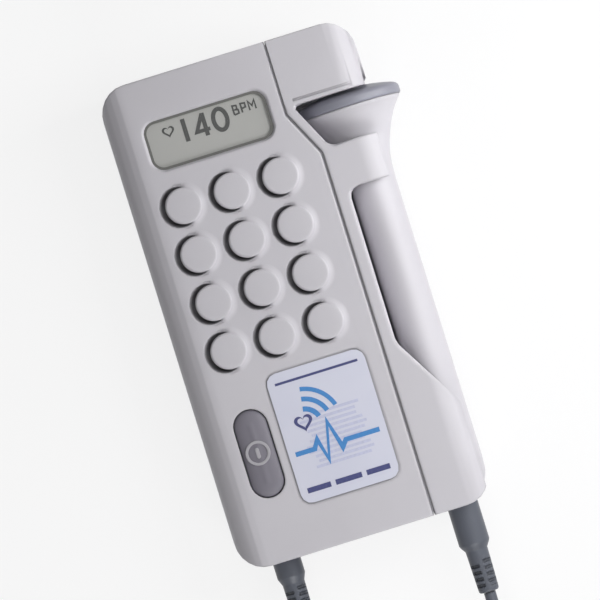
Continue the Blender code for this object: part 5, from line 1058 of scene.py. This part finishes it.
# %% The tongue under the seam
TONGUE_LINE = ((12.5, 69.0), (12.5, 48.6), (18.8, 35.6), (18.8, -69.0))
TONGUE_WIDTH = 1.0
seam_tongue = stroke("seam_tongue", TONGUE_LINE, TONGUE_WIDTH, FACE_LEVEL - 2.0,
                     FACE_LEVEL - 0.85)
dress(seam_tongue, None, "case", case_finish)

# %% [markdown]
# The reading
#
# The display shows a plain number, with a heart outline before it and its unit after it.


# %% Segments, heart and unit
def heart_ring(name, centre, size, width, low, high):
    """A heart outline between two hearts of sizes a and b.

    Each heart is x = a sin(t)^3 and y = a (13 cos t - 5 cos 2t - 2 cos 3t - cos 4t) / 16, and the
    inner one is lifted a little, so the outline keeps its width at the tip.
    """
    turn = np.linspace(0.0, 2 * math.pi, 64, endpoint=False)
    x = np.sin(turn) ** 3
    y = (13 * np.cos(turn) - 5 * np.cos(2 * turn) - 2 * np.cos(3 * turn) - np.cos(4 * turn)) / 16
    inner = size - width
    return flat_ring(name, centre, size * x, size * y, inner * x, inner * y + width * 0.12, low,
                     high)


INK_LOW = FILM_TOP - 0.01
INK_HIGH = FILM_TOP + 0.05
reading = {
    "digit_one": ([(-15.6, 49.7), (-15.6, 56.2)], 1.25, False),
    "digit_four_slant": ([(-8.75, 51.4), (-12.6, 51.4), (-9.95, 56.1)], 1.05, False),
    "digit_four_stem": ([(-9.9, 49.7), (-9.9, 56.2)], 1.2, False),
    "digit_zero": (np.stack([-5.35 + 1.9 * circle_x[::2], 52.95 + 3.0 * circle_y[::2]], axis=1),
                   1.2, True),
    "unit_b": ([(-1.2, 52.9), (-1.2, 55.5), (-0.1, 55.35), (-0.1, 54.35), (-1.2, 54.25),
                (0.15, 54.1), (0.15, 53.05), (-1.2, 52.9)], 0.5, False),
    "unit_p": ([(1.15, 52.9), (1.15, 55.5), (2.35, 55.35), (2.35, 54.2), (1.15, 54.05)], 0.5, False),
    "unit_m": ([(3.3, 52.9), (3.3, 55.5), (4.2, 54.0), (5.1, 55.5), (5.1, 52.9)], 0.5, False),
}
CROSSING_LIFT = 0.025
for number, (name, (points, width, closed)) in enumerate(reading.items()):
    lift = CROSSING_LIFT * (number % 2)
    dress(stroke(name, points, width, INK_LOW, INK_HIGH + lift, closed), None, "case",
          lcd_ink)
dress(heart_ring("heart_outline", (-20.2, 54.0), 1.75, 0.62, INK_LOW, INK_HIGH), None, "case",
      lcd_ink)
print("reading in", len(reading) + 1, "pieces")

# %% [markdown]
# The label
#
# The film lies in its recess. Its print is a plain one of this lesson's own: pale ruled blocks,
# sound arcs that spread from a small heart, a pulse line and three bars, in navy and azure.

# %% The label's print
_, label_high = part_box("label_plate")
PRINT_LOW = label_high.z / MM - 0.01
PRINT_HIGH = label_high.z / MM + 0.02
ARC_LIFT, PULSE_LIFT = 0.02, 0.05
RULE_PITCH = 1.45


def printed(name, points, width, finish, lift=0.0):
    """A printed line on the label, from points in millimetres from the label's middle."""
    line = np.array(points, dtype=float) + np.array(LABEL_MIDDLE)
    piece = stroke(name, line, width, PRINT_LOW + lift, PRINT_HIGH + lift)
    dress(piece, None, "case", finish)


for number, level in enumerate(np.arange(-9.6, 5.0, RULE_PITCH)):
    shift = 1.2 * math.sin(number * 1.3)
    printed(f"ruled_block_{number + 1}", [(-7.6 + shift, level), (8.4 + shift, level)], 0.8,
            pale_ink)
for number, radius in enumerate((4.6, 7.4, 10.2)):
    bow = np.linspace(math.radians(18.0), math.radians(82.0), 28)
    arc = np.stack([-7.2 + radius * np.cos(bow), 2.4 + radius * np.sin(bow)], axis=1)
    printed(f"sound_arc_{number + 1}", arc, 1.45 - 0.1 * number, azure_ink, lift=ARC_LIFT)
dress(heart_ring("label_heart", (LABEL_MIDDLE[0] - 7.4, LABEL_MIDDLE[1] + 3.4), 2.6, 0.95,
                 PRINT_LOW, PRINT_HIGH + 0.03), None, "case", navy_ink)
pulse = [(-12.2, -4.6), (-6.6, -4.6), (-5.2, -2.2), (-3.6, -8.6), (-1.2, 1.8), (1.0, -6.4),
         (2.4, -4.6), (12.2, -4.6)]
printed("pulse_line", pulse, 1.35, azure_ink, lift=PULSE_LIFT)
for number, (start, end) in enumerate(((-12.0, -5.2), (-3.8, 3.8), (5.2, 12.0))):
    printed(f"navy_bar_{number + 1}", [(start, -15.2), (end, -15.2)], 1.5, navy_ink,
            lift=ARC_LIFT)
printed("navy_rule", [(-12.0, 15.6), (12.0, 15.6)], 0.7, navy_ink, lift=ARC_LIFT)

# %% Show colours as they are written
bpy.context.scene.view_settings.view_transform = "Standard"
